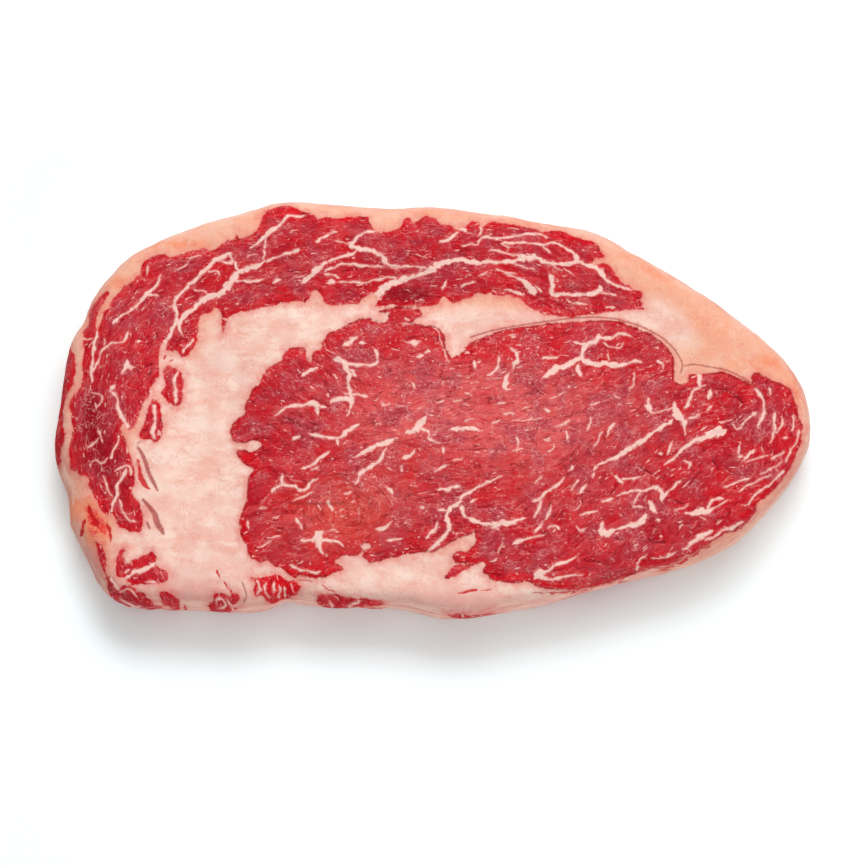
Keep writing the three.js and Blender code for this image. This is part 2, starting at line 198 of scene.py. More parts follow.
# Veins of fat in the lean. A vein is its places and width there, (X, Y, width), or (width, [places]).
VEINS = {
    "left gap": [
        [(-94, 6, 0.5), (-94, 10, 0.8), (-93.6, 15, 0.9), (-92.7, 20, 1)],
        (0.5, [(-97, 18.3), (-95.4, 18), (-94, 18.2)]),
    ],
    "cap, left": [
        [(-75.5, 36, 0.5), (-76, 34, 0.9), (-77, 32.5, 1), (-79, 31, 1.1), (-80.5, 29, 1), (-82, 27, 0.9),
         (-84.5, 25.5, 0.8), (-86, 24.5, 0.8), (-88, 22.5, 1.2)],
        (0.6, [(-79.5, 30.3), (-76, 30)]),
        [(-56, 42, 0.8), (-58, 41, 1.2), (-60.5, 40, 1.4), (-62.5, 37.8, 1.2), (-65, 35.5, 1),
         (-67.5, 33, 0.9), (-69.5, 31, 0.8), (-71.5, 28.5, 1), (-70.8, 25, 0.8), (-71, 22.5, 0.9),
         (-72.5, 20, 1), (-74, 17, 1.3), (-74.8, 14, 1.3), (-75, 11, 1), (-74.8, 8, 1), (-75.7, 6, 1.4),
         (-76.8, 4, 2.2), (-78.3, 0.5, 1.2), (-79.5, -2.5, 1.1), (-80.5, -5, 1.2), (-82, -7.8, 2.4),
         (-83.5, -9, 2.4)],
        (0.6, [(-60, 40.2), (-58, 39.5), (-56, 39.2), (-55.5, 40.5), (-56.5, 42)]),
        [(-46.3, 39.8, 0.8), (-48, 38.6, 1.2), (-50.5, 37.8, 1.5), (-53, 37.3, 1.5), (-54.5, 36, 1.6),
         (-55.8, 34, 1.8), (-57.5, 32, 2), (-59.5, 30.5, 2), (-62, 30, 1.8), (-64, 29, 1.8), (-65, 27.5, 1.5),
         (-66.5, 26, 1.4), (-68.5, 24.8, 1.2), (-70, 23, 1.1), (-69.8, 20.5, 0.8), (-69, 19, 0.5)],
        [(-46.3, 39.8, 0.5), (-44, 40.5, 0.5), (-41.5, 41.3, 0.6), (-39, 42.2, 0.9), (-37.2, 42.8, 1)],
        (0.6, [(-54.5, 34), (-50, 34.2), (-47, 34.7)]),
        (0.8, [(-53.5, 37), (-54.5, 38.3), (-55, 39.5)]),
        (0.4, [(-71, 37.5), (-68, 38.8)]),
        (0.5, [(-66, 32), (-64, 31.7), (-62.5, 31)]),
        (0.5, [(-62, 37), (-60, 37), (-59, 36)]),
        (0.3, [(-68, 40.5), (-64, 41.5)]),
        (0.5, [(-79, 38.5), (-79, 36)]),
        (0.8, [(-66.5, 18), (-67, 16.5), (-68.5, 15.7), (-69, 14.5)]),
    ],
    "cap, hump": [
        [(-50.5, 43.3, 0.5), (-49, 44.5, 0.7), (-47.5, 45.8, 1), (-46.3, 46.8, 1.4), (-45, 48, 1.4),
         (-43.5, 48.7, 1.4), (-42, 50.2, 0.9), (-41, 51.5, 0.9), (-40, 52.5, 0.8), (-37.5, 52.3, 0.7),
         (-35.5, 52.8, 0.5)],
        (0.6, [(-46.3, 46.5), (-46.4, 45), (-46.8, 43.5)]),
        (0.5, [(-47, 42.5), (-46.5, 41.5), (-46.8, 40)]),
        [(-32, 45.2, 1.2), (-30.5, 46.2, 1), (-28.5, 47.3, 0.7), (-26.5, 48, 0.4)],
        (0.9, [(-22.8, 44.6), (-21.5, 45.5), (-20.5, 46.8), (-18.5, 47.7), (-16, 48.3)]),
        [(-23, 44.6, 1.2), (-21.5, 43.5, 1.6), (-19.5, 42.8, 1.4), (-17, 42.8, 1.2), (-15.5, 41.8, 1.1),
         (-14, 41, 1.3), (-13.2, 39.5, 1.6), (-12.5, 38.7, 0.8), (-9, 38.3, 0.6), (-5, 38.2, 0.6),
         (-2, 37.9, 0.6)],
        (0.4, [(-23.5, 44.3), (-25, 44.8), (-27, 45.3)]),
        [(-36, 34, 1.3), (-34, 35.5, 1.6), (-32.5, 37.2, 1.6), (-31, 38.3, 1.2), (-29.5, 39.2, 1),
         (-27, 40.3, 0.9), (-24.5, 41.2, 0.8), (-22, 41.7, 0.7), (-21, 42.8, 0.8)],
        (0.6, [(-30, 37), (-27.5, 38), (-25, 38.8), (-22, 39), (-20, 38.4), (-14, 38.4)]),
        (0.6, [(-30, 36.3), (-28, 35.8), (-26, 35.3)]),
        (0.6, [(-26, 34), (-22, 34), (-18, 34), (-16, 34.5), (-13, 35.2), (-10, 35.2)]),
        (0.9, [(-44, 33.8), (-42.3, 34.5)]),
        (1.6, [(-28.6, 33.8), (-27.6, 33.9)]),
    ],
    "cap, right": [
        [(-17.2, 28.4, 4), (-15.6, 30.3, 3), (-13.5, 32, 2.4), (-11, 33.6, 2), (-8, 34.8, 1.7),
         (-5, 35.6, 1.6), (-2, 36.6, 1.6), (0, 37.6, 1.7), (2.5, 39, 1.9), (5, 39.8, 1.8), (7.5, 40, 1.4),
         (10, 39.6, 1.2), (15, 39.3, 1.2), (18, 39.5, 1.3), (21, 39.6, 1.2), (24, 40.2, 1.5), (26, 40.8, 2.2),
         (28, 41, 2.2), (29.5, 40.2, 1.4), (32, 39.3, 1.1), (35, 39, 1.1), (38, 39, 1.2), (40, 39.3, 1.8),
         (42, 39, 1.3), (44, 38.3, 1.5), (46, 37, 1.5), (47, 35.5, 1.4), (48, 34.2, 1), (50, 33.5, 0.8),
         (52, 32.6, 0.7), (54.5, 31.8, 0.6)],
        (0.5, [(15.5, 42.5), (17.5, 42.8), (19.5, 42), (22, 41.3), (25, 41.2)]),
        [(12.5, 44.5, 0.7), (14.2, 46.4, 0.7), (18.5, 46, 0.7), (24, 47, 0.7), (29, 47.3, 0.7),
         (31.5, 46.3, 0.7)],
        (0.4, [(12.5, 44.3), (9.5, 44.1), (8, 44)]),
        [(19, 44.5, 0.7), (25, 44.8, 0.7), (30, 44.3, 0.7), (33, 44.7, 0.7), (35.5, 44.2, 0.7),
         (37, 43.2, 0.7), (38.5, 42, 0.9), (39.5, 40.8, 1.4), (40, 39.8, 1.6)],
        (0.6, [(30.3, 44.2), (31.3, 43), (32.3, 42)]),
        [(2, 45, 0.8), (4, 45.6, 1), (5.5, 46.8, 0.9), (7, 47.8, 0.5)],
        (1.2, [(6, 50), (9, 48.5)]),
        (0.7, [(13.3, 49.5), (13.5, 48), (12.5, 47)]),
        (1.3, [(3.5, 34), (2.8, 32.5)]),
        (0.8, [(8, 33), (9.5, 33.5), (11.5, 34)]),
        (0.8, [(20, 32), (22, 31.8), (23.5, 31), (24.5, 30.5)]),
        [(20.5, 36, 0.4), (24, 34.8, 0.7), (26, 33.2, 2), (27.5, 31.8, 2.2), (28, 30.8, 1)],
        (0.6, [(28.5, 32.8), (30, 31.5)]),
        [(32.5, 36, 1), (33, 34.5, 1.2), (33, 32.5, 1.2), (32.8, 31, 1.2), (34.5, 30.5, 1.1), (38, 30.7, 1.1),
         (42, 30.7, 1.1), (45, 30.9, 1.2), (46.5, 31.8, 1.2), (46.3, 32.8, 1)],
        (0.5, [(46, 31), (48.5, 30.8), (50.5, 30.3)]),
        (0.5, [(37, 29.3), (39, 28), (42.5, 27.8)]),
        (0.8, [(48, 26.9), (50, 27)]),
        (0.4, [(22.5, 39), (25, 38), (28, 37.3)]),
        (0.3, [(33, 38.7), (35.5, 36.8)]),
        (0.3, [(36, 37.5), (38.5, 36.2)]),
        (0.4, [(17.5, 37.5), (20, 36.5), (23, 36.3)]),
        (0.4, [(13, 35.7), (15, 36.8)]),
    ],
    "left mass": [
        (0.6, [(-84, 20), (-85, 18), (-86.3, 16.9), (-88.5, 16.7), (-90, 15.5), (-91.5, 14.3), (-92.8, 10.5),
               (-93.8, 9)]),
        (0.4, [(-90.8, 18), (-90.5, 16.2)]),
        (1.1, [(-81.3, 17), (-80.9, 17.2)]),
        [(-86, 8.3, 0.4), (-84.3, 10.7, 1.4), (-84.5, 12, 0.5)],
        [(-83.5, 9.3, 0.4), (-84.3, 10.7, 1.2), (-82.4, 10.2, 0.5)],
        (0.9, [(-88, 5), (-88.8, 3.5), (-87.2, 2.4), (-86.6, 0.8), (-86.8, -1), (-85.3, -4), (-84, -6.5)]),
        (0.35, [(-94, 3), (-92, 2.7), (-91, 1), (-92.5, -1.5)]),
        (0.5, [(-95, -12), (-93.5, -11), (-92, -9.8)]),
        (0.4, [(-92, -7), (-91.5, -9), (-91, -10.5)]),
        (0.6, [(-86.5, -9), (-87, -11), (-88, -13), (-88.8, -15)]),
        (0.4, [(-94, -16), (-92.5, -15.5), (-91, -16.5), (-89.5, -15)]),
        (0.5, [(-90.5, -20), (-89.5, -23.5), (-88.3, -25.5)]),
        (0.8, [(-84.5, -18), (-85.5, -20.5), (-86.8, -22.5), (-86.6, -25), (-87.5, -26.5), (-88.5, -29.5)]),
        (0.5, [(-86.3, -26.5), (-85.5, -29), (-84.5, -31), (-83.3, -32.5)]),
        (1, [(-82.6, -32.4), (-82, -32.6)]),
        (0.5, [(-83, -19.5), (-84, -17), (-87.5, -18.5)]),
        [(-70.5, 8.8, 0.8), (-71.2, 7, 0.9), (-71, 3, 0.9), (-71, 0.5, 0.8)],
        [(-77, -0.5, 0.8), (-76.6, -3, 1), (-76.5, -5.5, 1), (-77.2, -8, 1), (-76.8, -9.5, 0.9)],
    ],
    "eye, left": [
        [(-27, 12.5, 1.2), (-25, 11.7, 2), (-24, 10, 2), (-23.3, 8, 1.6), (-23.3, 5.5, 1.2), (-22.8, 3, 1.6),
         (-22.5, 1, 1.4), (-22.7, -1, 0.8), (-23, -2.5, 0.6), (-23.8, -3.5, 0.4)],
        (0.8, [(-24, 11), (-19, 10.6), (-16, 10.8), (-15.3, 12), (-15.5, 14), (-16, 15)]),
        [(-22.5, 1.2, 1.5), (-25, 1.3, 1.2), (-27, 1, 0.9), (-28, 0, 0.6)],
        (0.8, [(-22, 2.8), (-20, 2.2), (-18.3, 1.8)]),
        (1.4, [(-22.5, 9), (-21.5, 8)]),
        [(-43.5, -3.3, 0.5), (-41.5, -2, 0.6), (-40, -0.8, 0.8), (-38, -0.5, 0.8), (-35.5, -0.5, 1),
         (-33, 0, 1.6), (-31.5, -0.8, 1.2), (-29.5, -1, 0.7)],
        (0.8, [(-32, -1), (-31.5, -3)]),
        (1.3, [(-35.8, 8), (-34, 9), (-32.3, 10)]),
        (2, [(-24, 16.5), (-22.7, 17.3), (-21.5, 18)]),
        (1, [(-20, 16.8), (-19, 16.8)]),
        (1.9, [(-5.3, 16.8), (-4.7, 16.8)]),
        (1.3, [(-1.7, 14.3), (-1.3, 14.3)]),
        (1.6, [(-3.8, 13), (-3.2, 13.2)]),
        [(-34, -8.3, 0.6), (-31, -9, 0.9), (-28, -9.7, 1), (-25.5, -9.5, 1), (-24, -8.3, 1.1),
         (-22.3, -7, 1.2), (-20.5, -5.8, 0.7)],
        (0.8, [(-26.5, -9.8), (-26, -11.5)]),
        (0.7, [(-38.5, -10), (-37.5, -9.3), (-36.8, -9)]),
        [(-36, -18, 0.5), (-34, -17.5, 0.8), (-32, -16.3, 1), (-30.3, -14.7, 0.9), (-28.7, -13.4, 0.7)],
        (0.5, [(-33.3, -18.5), (-31.5, -17.5)]),
        [(-11, -10.3, 1.2), (-13, -11, 1.6), (-15.5, -11.8, 1.4), (-17, -12.5, 1.3), (-19, -13.8, 1),
         (-22, -15, 0.5)],
        [(-12.8, -12.5, 0.6), (-13.8, -14.5, 0.9), (-15.5, -16.5, 1.1), (-18, -18.3, 1.1), (-20, -19.5, 1),
         (-20.5, -21, 0.9), (-21.5, -22.3, 0.6)],
        [(-7.3, -8, 1), (-5, -7.5, 2), (-4, -6.5, 2.2), (-3, -5, 1.6), (-1.8, -3.8, 0.8)],
        [(-3, -7.2, 1.2), (-1.3, -8, 1), (-1.2, -9.8, 0.6), (0.5, -10.5, 0.5), (2, -11, 0.4)],
        [(-8, -15.3, 1.2), (-6, -14.5, 1), (-5.2, -13, 0.6)],
        (0.5, [(-8.3, -17.5), (-8.8, -18.8)]),
        (0.9, [(-5.5, 5.5), (-5, 4.5)]),
    ],
    "eye, lower left": [
        [(-44, -24.5, 0.9), (-43, -23.3, 0.9), (-41.5, -22.5, 0.9), (-39.5, -22.8, 0.9), (-38, -22.7, 0.9),
         (-36.5, -24.2, 0.9), (-35, -24, 0.9), (-34, -22.5, 0.8), (-32.8, -21, 0.6)],
        (1, [(-41.5, -22.5), (-41.4, -20)]),
        (0.4, [(-38.5, -27), (-34, -25), (-33, -24.5)]),
        [(-36, -37.8, 0.9), (-33, -37.5, 1.6), (-31.5, -36.5, 2.2), (-30.5, -35.7, 1.4)],
        [(-31.5, -37.5, 2), (-31.3, -39, 1.6), (-31, -40.5, 1.2), (-30, -41.5, 0.4)],
        [(-30.5, -37.7, 0.8), (-26, -38.5, 0.7), (-24.5, -39.5, 0.4)],
        (1, [(-37.5, -32), (-36.5, -33.5), (-36, -34.5)]),
        (0.8, [(-28.8, -27), (-28, -28.5), (-27.5, -29.5)]),
        (0.8, [(-25.2, -31.5), (-24.8, -31.5)]),
        (0.6, [(-22.2, -27.3), (-21.8, -27.3)]),
        (1, [(-3.2, -28.8), (-2.8, -28.8)]),
        (0.6, [(-7.7, -33), (-7.3, -33)]),
        (0.4, [(-24.5, -25), (-22.5, -24.5)]),
        (1, [(-12.3, -23.5), (-11.3, -24.7)]),
        (0.9, [(-15.5, -35), (-14, -34.8), (-12.5, -34), (-11.5, -33)]),
        (0.8, [(-27.8, -35), (-26.8, -35)]),
        (0.6, [(-12.5, -38), (-8.5, -37.3)]),
        [(-1.8, -37, 1), (-0.5, -35.8, 1.4), (1, -34.5, 0.9), (1.3, -33, 0.5)],
        (0.5, [(-48, -39.5), (-46.5, -39.3), (-44.5, -38)]),
        (0.6, [(-51, -32.5), (-50.7, -34.5)]),
        (0.5, [(-47.5, -29), (-46, -28.7)]),
        (0.8, [(-38.8, -44.5), (-37, -45.8), (-33, -46.5), (-31, -46.5)]),
    ],
    "eye, middle": [
        [(30.5, 7, 1), (32.5, 8.5, 1.6), (35, 10, 2), (37.5, 11, 2), (40, 12, 1.6), (41, 13, 1.2),
         (41.5, 15, 1.6), (42.5, 16.3, 1.2), (44.5, 17.2, 1.2), (46, 18.8, 1.6), (47, 18.2, 1.4),
         (49.5, 18.6, 0.6), (52, 19.6, 0.6), (54.5, 18.7, 0.5)],
        [(41, 12.3, 1.6), (43, 11.3, 1.4), (45.5, 10.7, 1.4), (48, 11, 1.6), (50, 10.5, 1.6),
         (51.5, 10.3, 1.8), (52.5, 10.8, 1), (54.5, 11.2, 0.8), (56, 11.6, 1.5), (57.3, 11.5, 0.8)],
        [(40, 10.5, 1.2), (39.8, 9, 1), (40.8, 7.7, 0.8)],
        (0.8, [(39, 17), (40.5, 16.6), (42, 16.6)]),
        (0.4, [(47, 16.8), (49, 15.8), (51.5, 15.3), (52.5, 17)]),
        (0.5, [(48.3, 13.8), (48.5, 12)]),
        [(21.5, 15.3, 0.7), (22.8, 14, 1.2), (23.3, 12.5, 1.4), (22.5, 11, 1.2), (22, 10, 0.7)],
        (0.7, [(18, 13), (18.2, 11.5), (17.8, 10), (16.5, 8.5), (15.2, 7.8)]),
        [(21, 8.5, 0.5), (19.8, 6.8, 1), (20, 5, 1.8), (19.5, 4.3, 1.4), (21.2, 3.8, 0.4)],
        (1, [(11.3, 11.5), (11.5, 10)]),
        (0.8, [(22.1, 18.5), (22.5, 18.5)]),
        (0.5, [(3, 6), (2.5, 5.3)]),
        [(4.5, -7.5, 0.6), (7, -7.2, 1.1), (10, -6.9, 1.3), (13, -7.5, 0.5)],
        (0.9, [(2.8, -12.5), (3, -13.7)]),
        (0.5, [(1, 0.2), (3, 0.6)]),
        (0.4, [(5.5, 0.5), (8, 0.8)]),
        (0.5, [(17.8, -0.3), (20, 0.2)]),
        (0.5, [(19.3, -3.2), (22, -2.6)]),
        (0.5, [(24.8, -1.5), (26.3, -0.8)]),
        (0.7, [(16.3, -5.6), (18.2, -4.8)]),
        (0.7, [(30.8, -1.8), (32, -2.3)]),
        (0.3, [(8.5, -5), (11.5, -4.4)]),
        (0.35, [(22, -5), (30, -4.3)]),
        (0.6, [(32.3, 1.3), (34, 1.8)]),
        (0.4, [(34.5, 2), (36, 3)]),
        (0.7, [(37.3, 4.4), (37.7, 4.6)]),
        (0.5, [(30, 12.6), (34.5, 12.6)]),
        (0.5, [(43.5, -0.5), (45.8, 0.2)]),
        (0.6, [(23, -9.5), (23.3, -11.5), (23.2, -13.5)]),
        (0.5, [(31.5, -13.3), (33, -12.8), (33.2, -11.5)]),
        (0.5, [(34.5, -6.5), (36, -6), (37.5, -4.5)]),
        (0.8, [(36.8, -8), (37, -10)]),
        (0.6, [(43.5, -4), (43.2, -6), (42.3, -7.5)]),
        (0.8, [(50, -6), (48.5, -7.5), (47.8, -9)]),
        (0.5, [(46.3, -8), (45.5, -10), (44.3, -12.3)]),
        [(44, -18.5, 0.5), (46, -16.8, 0.8), (48.5, -15.8, 0.8), (51, -15, 1.2), (53, -13.3, 1.4),
         (56.5, -11, 1.4), (59, -9.3, 1.2), (61.5, -7.5, 1.1), (64, -6, 1.2), (65.5, -4.8, 1.4)],
        (0.6, [(0.5, -19), (2, -17.8), (4, -17.2)]),
        (0.4, [(5.5, -16), (8, -15.2)]),
        (0.9, [(37.5, -18.5), (38.5, -17.8)]),
        (0.7, [(44.3, -19.5), (44, -20.5)]),
        (0.6, [(50, 2), (51, 1.3)]),
    ],
    "eye, right": [
        [(66.5, 0, 1), (66.7, -2, 1.6), (67.5, -3.5, 2.6), (68.5, -4, 2.4), (69.2, -6.5, 0.9),
         (69.3, -9, 0.4)],
        (0.5, [(66, -1.5), (64, -1.8), (62, -2.6), (60, -2.8)]),
        [(59, 1, 1.2), (59.3, -1, 2), (60, -2.5, 1)],
        [(69.3, -1.5, 0.6), (70.3, 0, 0.8), (70.8, 1.5, 0.9), (71.5, 3.3, 1), (73.5, 4.5, 0.9), (75, 5, 0.5)],
        (1, [(73.5, 5), (73.6, 7), (73.5, 8.3)]),
        (0.4, [(70, -4.5), (72, -4), (73.5, -3.2)]),
        (1, [(75.7, 1.5), (76.3, 2.5), (76.5, 3.3)]),
        (0.7, [(75.3, -2), (76.8, -1)]),
        [(63.5, -17, 0.5), (66, -15.5, 0.7), (68, -13.5, 0.9), (70, -11.7, 1.2), (72, -10.6, 1.6),
         (74.5, -9.5, 2), (77, -8.5, 2.6), (79.3, -7.8, 3.2)],
        (0.8, [(65.8, -10.8), (65, -12.5), (64.5, -14)]),
        (0.9, [(62.3, -14), (62.7, -14)]),
        (0.5, [(55.5, 8.5), (55.2, 5), (54, 4)]),
        (0.7, [(62, 11.8), (63.3, 10.8), (63.5, 10)]),
        (0.8, [(61.5, 15.6), (61.9, 15.6)]),
        (0.6, [(69, -16.2), (70.8, -16.8), (70.2, -18)]),
        (0.8, [(85, -6), (86.3, -4.5), (88, -2.8), (88.7, -2.5)]),
        (0.6, [(82.5, -6), (83.5, -7), (85, -6.7)]),
        (0.4, [(92.8, 4.5), (93, 2.5)]),
        [(94, -2.5, 0.5), (94, -5, 0.8), (94, -7.5, 0.8), (93.6, -9.5, 0.6), (92.5, -11, 0.3)],
        (0.6, [(96.2, -3.8), (96, -5.5), (95, -7.3), (94.2, -8.3)]),
        (0.5, [(99.3, -3), (99.2, -5.5), (98.8, -7.5)]),
        (1, [(96.8, -9.3), (97.2, -9.3)]),
        (0.9, [(89.5, -6.5), (90.3, -4.5), (91.2, -2.5), (91, 0.5), (90, 2.8), (89, 4)]),
        (0.5, [(100.8, -7), (100, -10.5), (98.8, -12.5), (97, -16)]),
        (0.6, [(84.5, -11), (84, -13), (83.8, -14)]),
        (1.2, [(84.3, -14.7), (84.7, -14.7)]),
        (0.8, [(85.5, -15.5), (87, -13.8), (88.3, -13)]),
        (0.4, [(86, -16.3), (88, -15.3), (92, -14.5)]),
        (0.5, [(93, -15.3), (96.5, -13.3)]),
        (0.6, [(80, -23.3), (82, -22.5), (87, -20.8)]),
        (0.4, [(84, -24.5), (87, -22.5), (90, -21), (93, -19.5)]),
        (0.4, [(90, -19.5), (93, -18), (96, -16)]),
        (0.7, [(88, -25.5), (90, -24), (92, -22.7), (94, -21), (96.5, -18.5)]),
    ],
    "eye, lower": [
        [(9.5, -31.8, 0.6), (12.5, -33, 1.6), (16, -33.5, 2), (19.5, -33.3, 1.8), (22.5, -32.6, 1.4),
         (25.3, -31.9, 0.4)],
        [(1.5, -24, 0.8), (4, -23.7, 1.4), (7.5, -23, 0.4)],
        [(19, -20.3, 0.5), (16, -21.5, 0.6), (13, -23, 0.7), (9.5, -24.8, 0.8), (8, -26, 1),
         (6.8, -27.8, 1.8), (5, -29, 1.6), (4, -30, 1.4), (3.8, -32, 1.5), (4.5, -33.5, 1),
         (4, -35.5, 0.8), (2.5, -37.5, 0.9), (0.5, -39.5, 1), (-1.5, -41, 1)],
        [(8, -28.7, 1.3), (8.3, -30, 1.1), (8.8, -31.5, 0.8)],
        (0.8, [(1.5, -29.5), (4, -29.8)]),
        (0.8, [(10.5, -27.5), (11.8, -26.8)]),
        (0.8, [(27.5, -27), (29.5, -26.3), (31.5, -24.5), (34, -22.7), (36, -20.8)]),
        (0.7, [(30, -27), (29.3, -28.5), (28.5, -30), (27.8, -31.5)]),
        (0.8, [(32.3, -28.5), (31.8, -30.5), (31, -31.8)]),
        (0.5, [(28, -22), (29.8, -20.3)]),
        (0.8, [(28, -35.5), (29, -34.3), (29.8, -33.3)]),
        [(22, -39, 0.4), (23.5, -38, 1), (26, -37.4, 0.7), (27, -37.2, 0.35), (30.5, -36.6, 0.35)],
        (0.4, [(18, -41.5), (18.3, -40), (19, -39)]),
        (0.7, [(16, -43.7), (17.3, -43)]),
        (0.7, [(38, -24), (39, -22.8), (40, -21.5)]),
        (0.8, [(39.8, -25), (41.2, -23.8), (42, -22.8)]),
        (0.6, [(31.5, -34.5), (33.5, -34), (34.5, -34.8)]),
        (0.5, [(39.5, -34), (40.5, -35.5), (42, -34.5)]),
        [(46.5, -33, 0.7), (46.2, -34.5, 1.4), (46.5, -35.8, 2.4), (48, -36, 1.6), (50, -35, 0.9),
         (52, -34.2, 1.1), (54, -33.7, 1.2), (56, -33.8, 1.4), (57.3, -32.3, 1.8), (58.3, -30.8, 0.8)],
        (0.6, [(40.5, -31), (43, -30.3), (45, -29.8)]),
        (0.8, [(46.5, -27.3), (49.3, -26.6)]),
        [(50.5, -25.6, 0.5), (53, -24.7, 0.6), (55, -24.3, 0.7), (58, -24.3, 0.7), (60, -23.5, 0.9),
         (62, -23.6, 1), (63, -25, 1.2), (63, -26.7, 1.4)],
        [(63.3, -26, 1.1), (64.5, -24.5, 0.7), (66.5, -22.7, 0.8), (68, -21.5, 0.5)],
        (0.8, [(50, -20.5), (52, -22)]),
        (0.5, [(52, -21), (55, -21), (57, -20.2)]),
        (0.5, [(60.8, -19.5), (61.5, -19)]),
        (0.5, [(55, -28), (55.5, -26.5), (57.3, -24.3)]),
        (0.7, [(55, -28.5), (57.5, -28.8)]),
        (1.4, [(59.5, -27.5), (60.3, -29), (61, -29.8)]),
        [(69, -30.5, 0.4), (71, -30.5, 1.4), (73, -30, 2.2), (75, -30.2, 1.6), (77, -29, 0.5), (79, -28, 0.5),
         (81, -26.8, 0.4)],
        (0.6, [(73.5, -31.5), (74.8, -32)]),
        (0.7, [(75.5, -29), (76, -27.5), (77, -26.5), (79.5, -26.3)]),
        (1, [(61.6, -32.3), (62, -32.3)]),
        (0.8, [(67.6, -32.8), (68, -32.8)]),
        (0.5, [(66.5, -29.5), (68.5, -28.8), (70, -28.3)]),
    ],
    "eye, bottom": [
        [(39.3, -42.3, 0.5), (38.8, -43, 0.8), (36.5, -43.7, 0.8), (34, -44.3, 0.9), (32.5, -45.3, 0.9),
         (31.3, -46.3, 1), (29.5, -47, 1.8), (28.5, -47.8, 2.2)],
        [(29.5, -48, 1.6), (32, -48.4, 0.7), (34.5, -48.3, 0.8), (36.5, -47.7, 0.6), (41, -47.2, 0.4)],
        [(68.5, -40, 0.6), (70, -39.7, 0.9), (71.2, -38.2, 1.2), (72.5, -37, 1.4), (74.5, -36, 1.2),
         (76.5, -35, 0.5)],
        [(74.5, -37.5, 0.5), (76.5, -37, 0.8), (78, -35.8, 0.6), (79.5, -34.9, 0.9), (82, -34, 1),
         (84, -33, 0.7), (85, -32.3, 0.4)],
        [(64, -42.3, 1), (65.5, -41.3, 0.7), (66.5, -40.7, 0.3)],
        (0.4, [(60, -42.8), (63.5, -42.3)]),
        (0.5, [(56, -44.3), (57, -42.8), (58.5, -42)]),
        (0.8, [(56, -45.8), (56.2, -44.8)]),
        (0.5, [(78, -33.3), (79, -32.5)]),
        [(86.2, -27.8, 1), (87, -27.2, 0.9), (88, -25.5, 0.6)],
    ],
    "eye, top": [
        (2, [(-15.6, 23.6), (-14, 24.3), (-12.8, 25)]),
        (0.5, [(-8.5, 22.3), (-6, 22.5), (-4, 22.9)]),
        (0.3, [(0, 21.5), (1.5, 20), (2.5, 17), (3.5, 13.5), (4.5, 11.5)]),
    ],
    "lower islands": [
        [(-84.5, -48.5, 1), (-82.5, -47, 1.2), (-80, -46, 1.2), (-78, -45.2, 1.2), (-76.3, -44.3, 1)],
        (0.5, [(-84.5, -46.5), (-83.3, -46)]),
        (0.5, [(-78.5, -49.3), (-76, -49.3)]),
        (1, [(-88.5, -48), (-87.5, -49.5), (-86.5, -50.7)]),
        (0.5, [(-86, -51.5), (-84, -51), (-82.5, -51.8), (-81.5, -53)]),
        (0.5, [(-86, -53), (-84, -54), (-80, -55.5), (-77, -56)]),
        (0.5, [(-59.5, -54.5), (-58.8, -53.3), (-57.3, -53.5), (-57.2, -55), (-58.5, -55.5)]),
        (0.5, [(-56.3, -53.8), (-55.8, -55), (-54.8, -56)]),
        (0.6, [(-48.3, -49), (-47.5, -51), (-48.2, -52.5)]),
        (0.5, [(-45.8, -49.5), (-46.3, -51.5), (-45, -53)]),
        (0.6, [(-43.8, -49.3), (-44, -51.5)]),
        (0.5, [(-42.3, -50), (-42.5, -52.8)]),
        (0.6, [(-41, -50.5), (-40.8, -52.5)]),
        (0.4, [(-28.5, -54), (-27.3, -55.5), (-26.5, -56.5)]),
        (0.5, [(-24.5, -56), (-22.5, -54.5), (-20, -54)]),
    ],
}

# Slivers of lean caught in the fat, written as the veins are.
SLIVERS = [
    (0.5, [(-90.5, -46), (-89.8, -48), (-89, -50)]),
    [(-81.4, -15.5, 0.8), (-80.7, -17.5, 1.2), (-80.5, -20, 1.6), (-79.5, -22, 1.8), (-78, -23.4, 1)],
    (0.7, [(-59.2, -46.2), (-58.4, -48)]),
    (0.7, [(-57.3, -49.3), (-56.5, -50.5), (-55.3, -52)]),
    (0.9, [(-72.5, 12.2), (-72.1, 12.4)]),
    (0.5, [(-73.8, 13.7), (-74.3, 12.3)]),
    (0.8, [(-68.5, -55.5), (-68, -57)]),
    (0.5, [(-66.3, -57), (-66, -58)]),
    (0.35, [(-30.5, -50), (-28.5, -51.3), (-26.8, -52)]),
    (0.3, [(-37, -48.5), (-33, -49.3)]),
    (0.8, [(7, -52.3), (9.5, -51.8), (12, -51.5)]),
    (0.4, [(13, -51.7), (16, -51)]),
    [(-93.3, -31.5, 1), (-93, -32.5, 2.2), (-92.6, -33.6, 1)],
    [(-95, -28, 0.8), (-94.5, -30, 1.5), (-92.8, -33, 1.2)],
    [(-89.8, -33, 0.8), (-89, -35, 1.3), (-88.6, -38, 0.7)],
    (1.1, [(-96.3, -32), (-96.6, -34), (-97.2, -36)]),
    (0.4, [(27.5, -52.5), (38, -51.5), (48, -50), (55, -46.9), (60, -45.6), (65, -44.8), (70, -42.2),
           (76, -39)]),
    (0.3, [(-34, 27.2), (-33.6, 27.2)]),
    (0.3, [(-18.9, 28.6), (-18.5, 28.6)]),
]

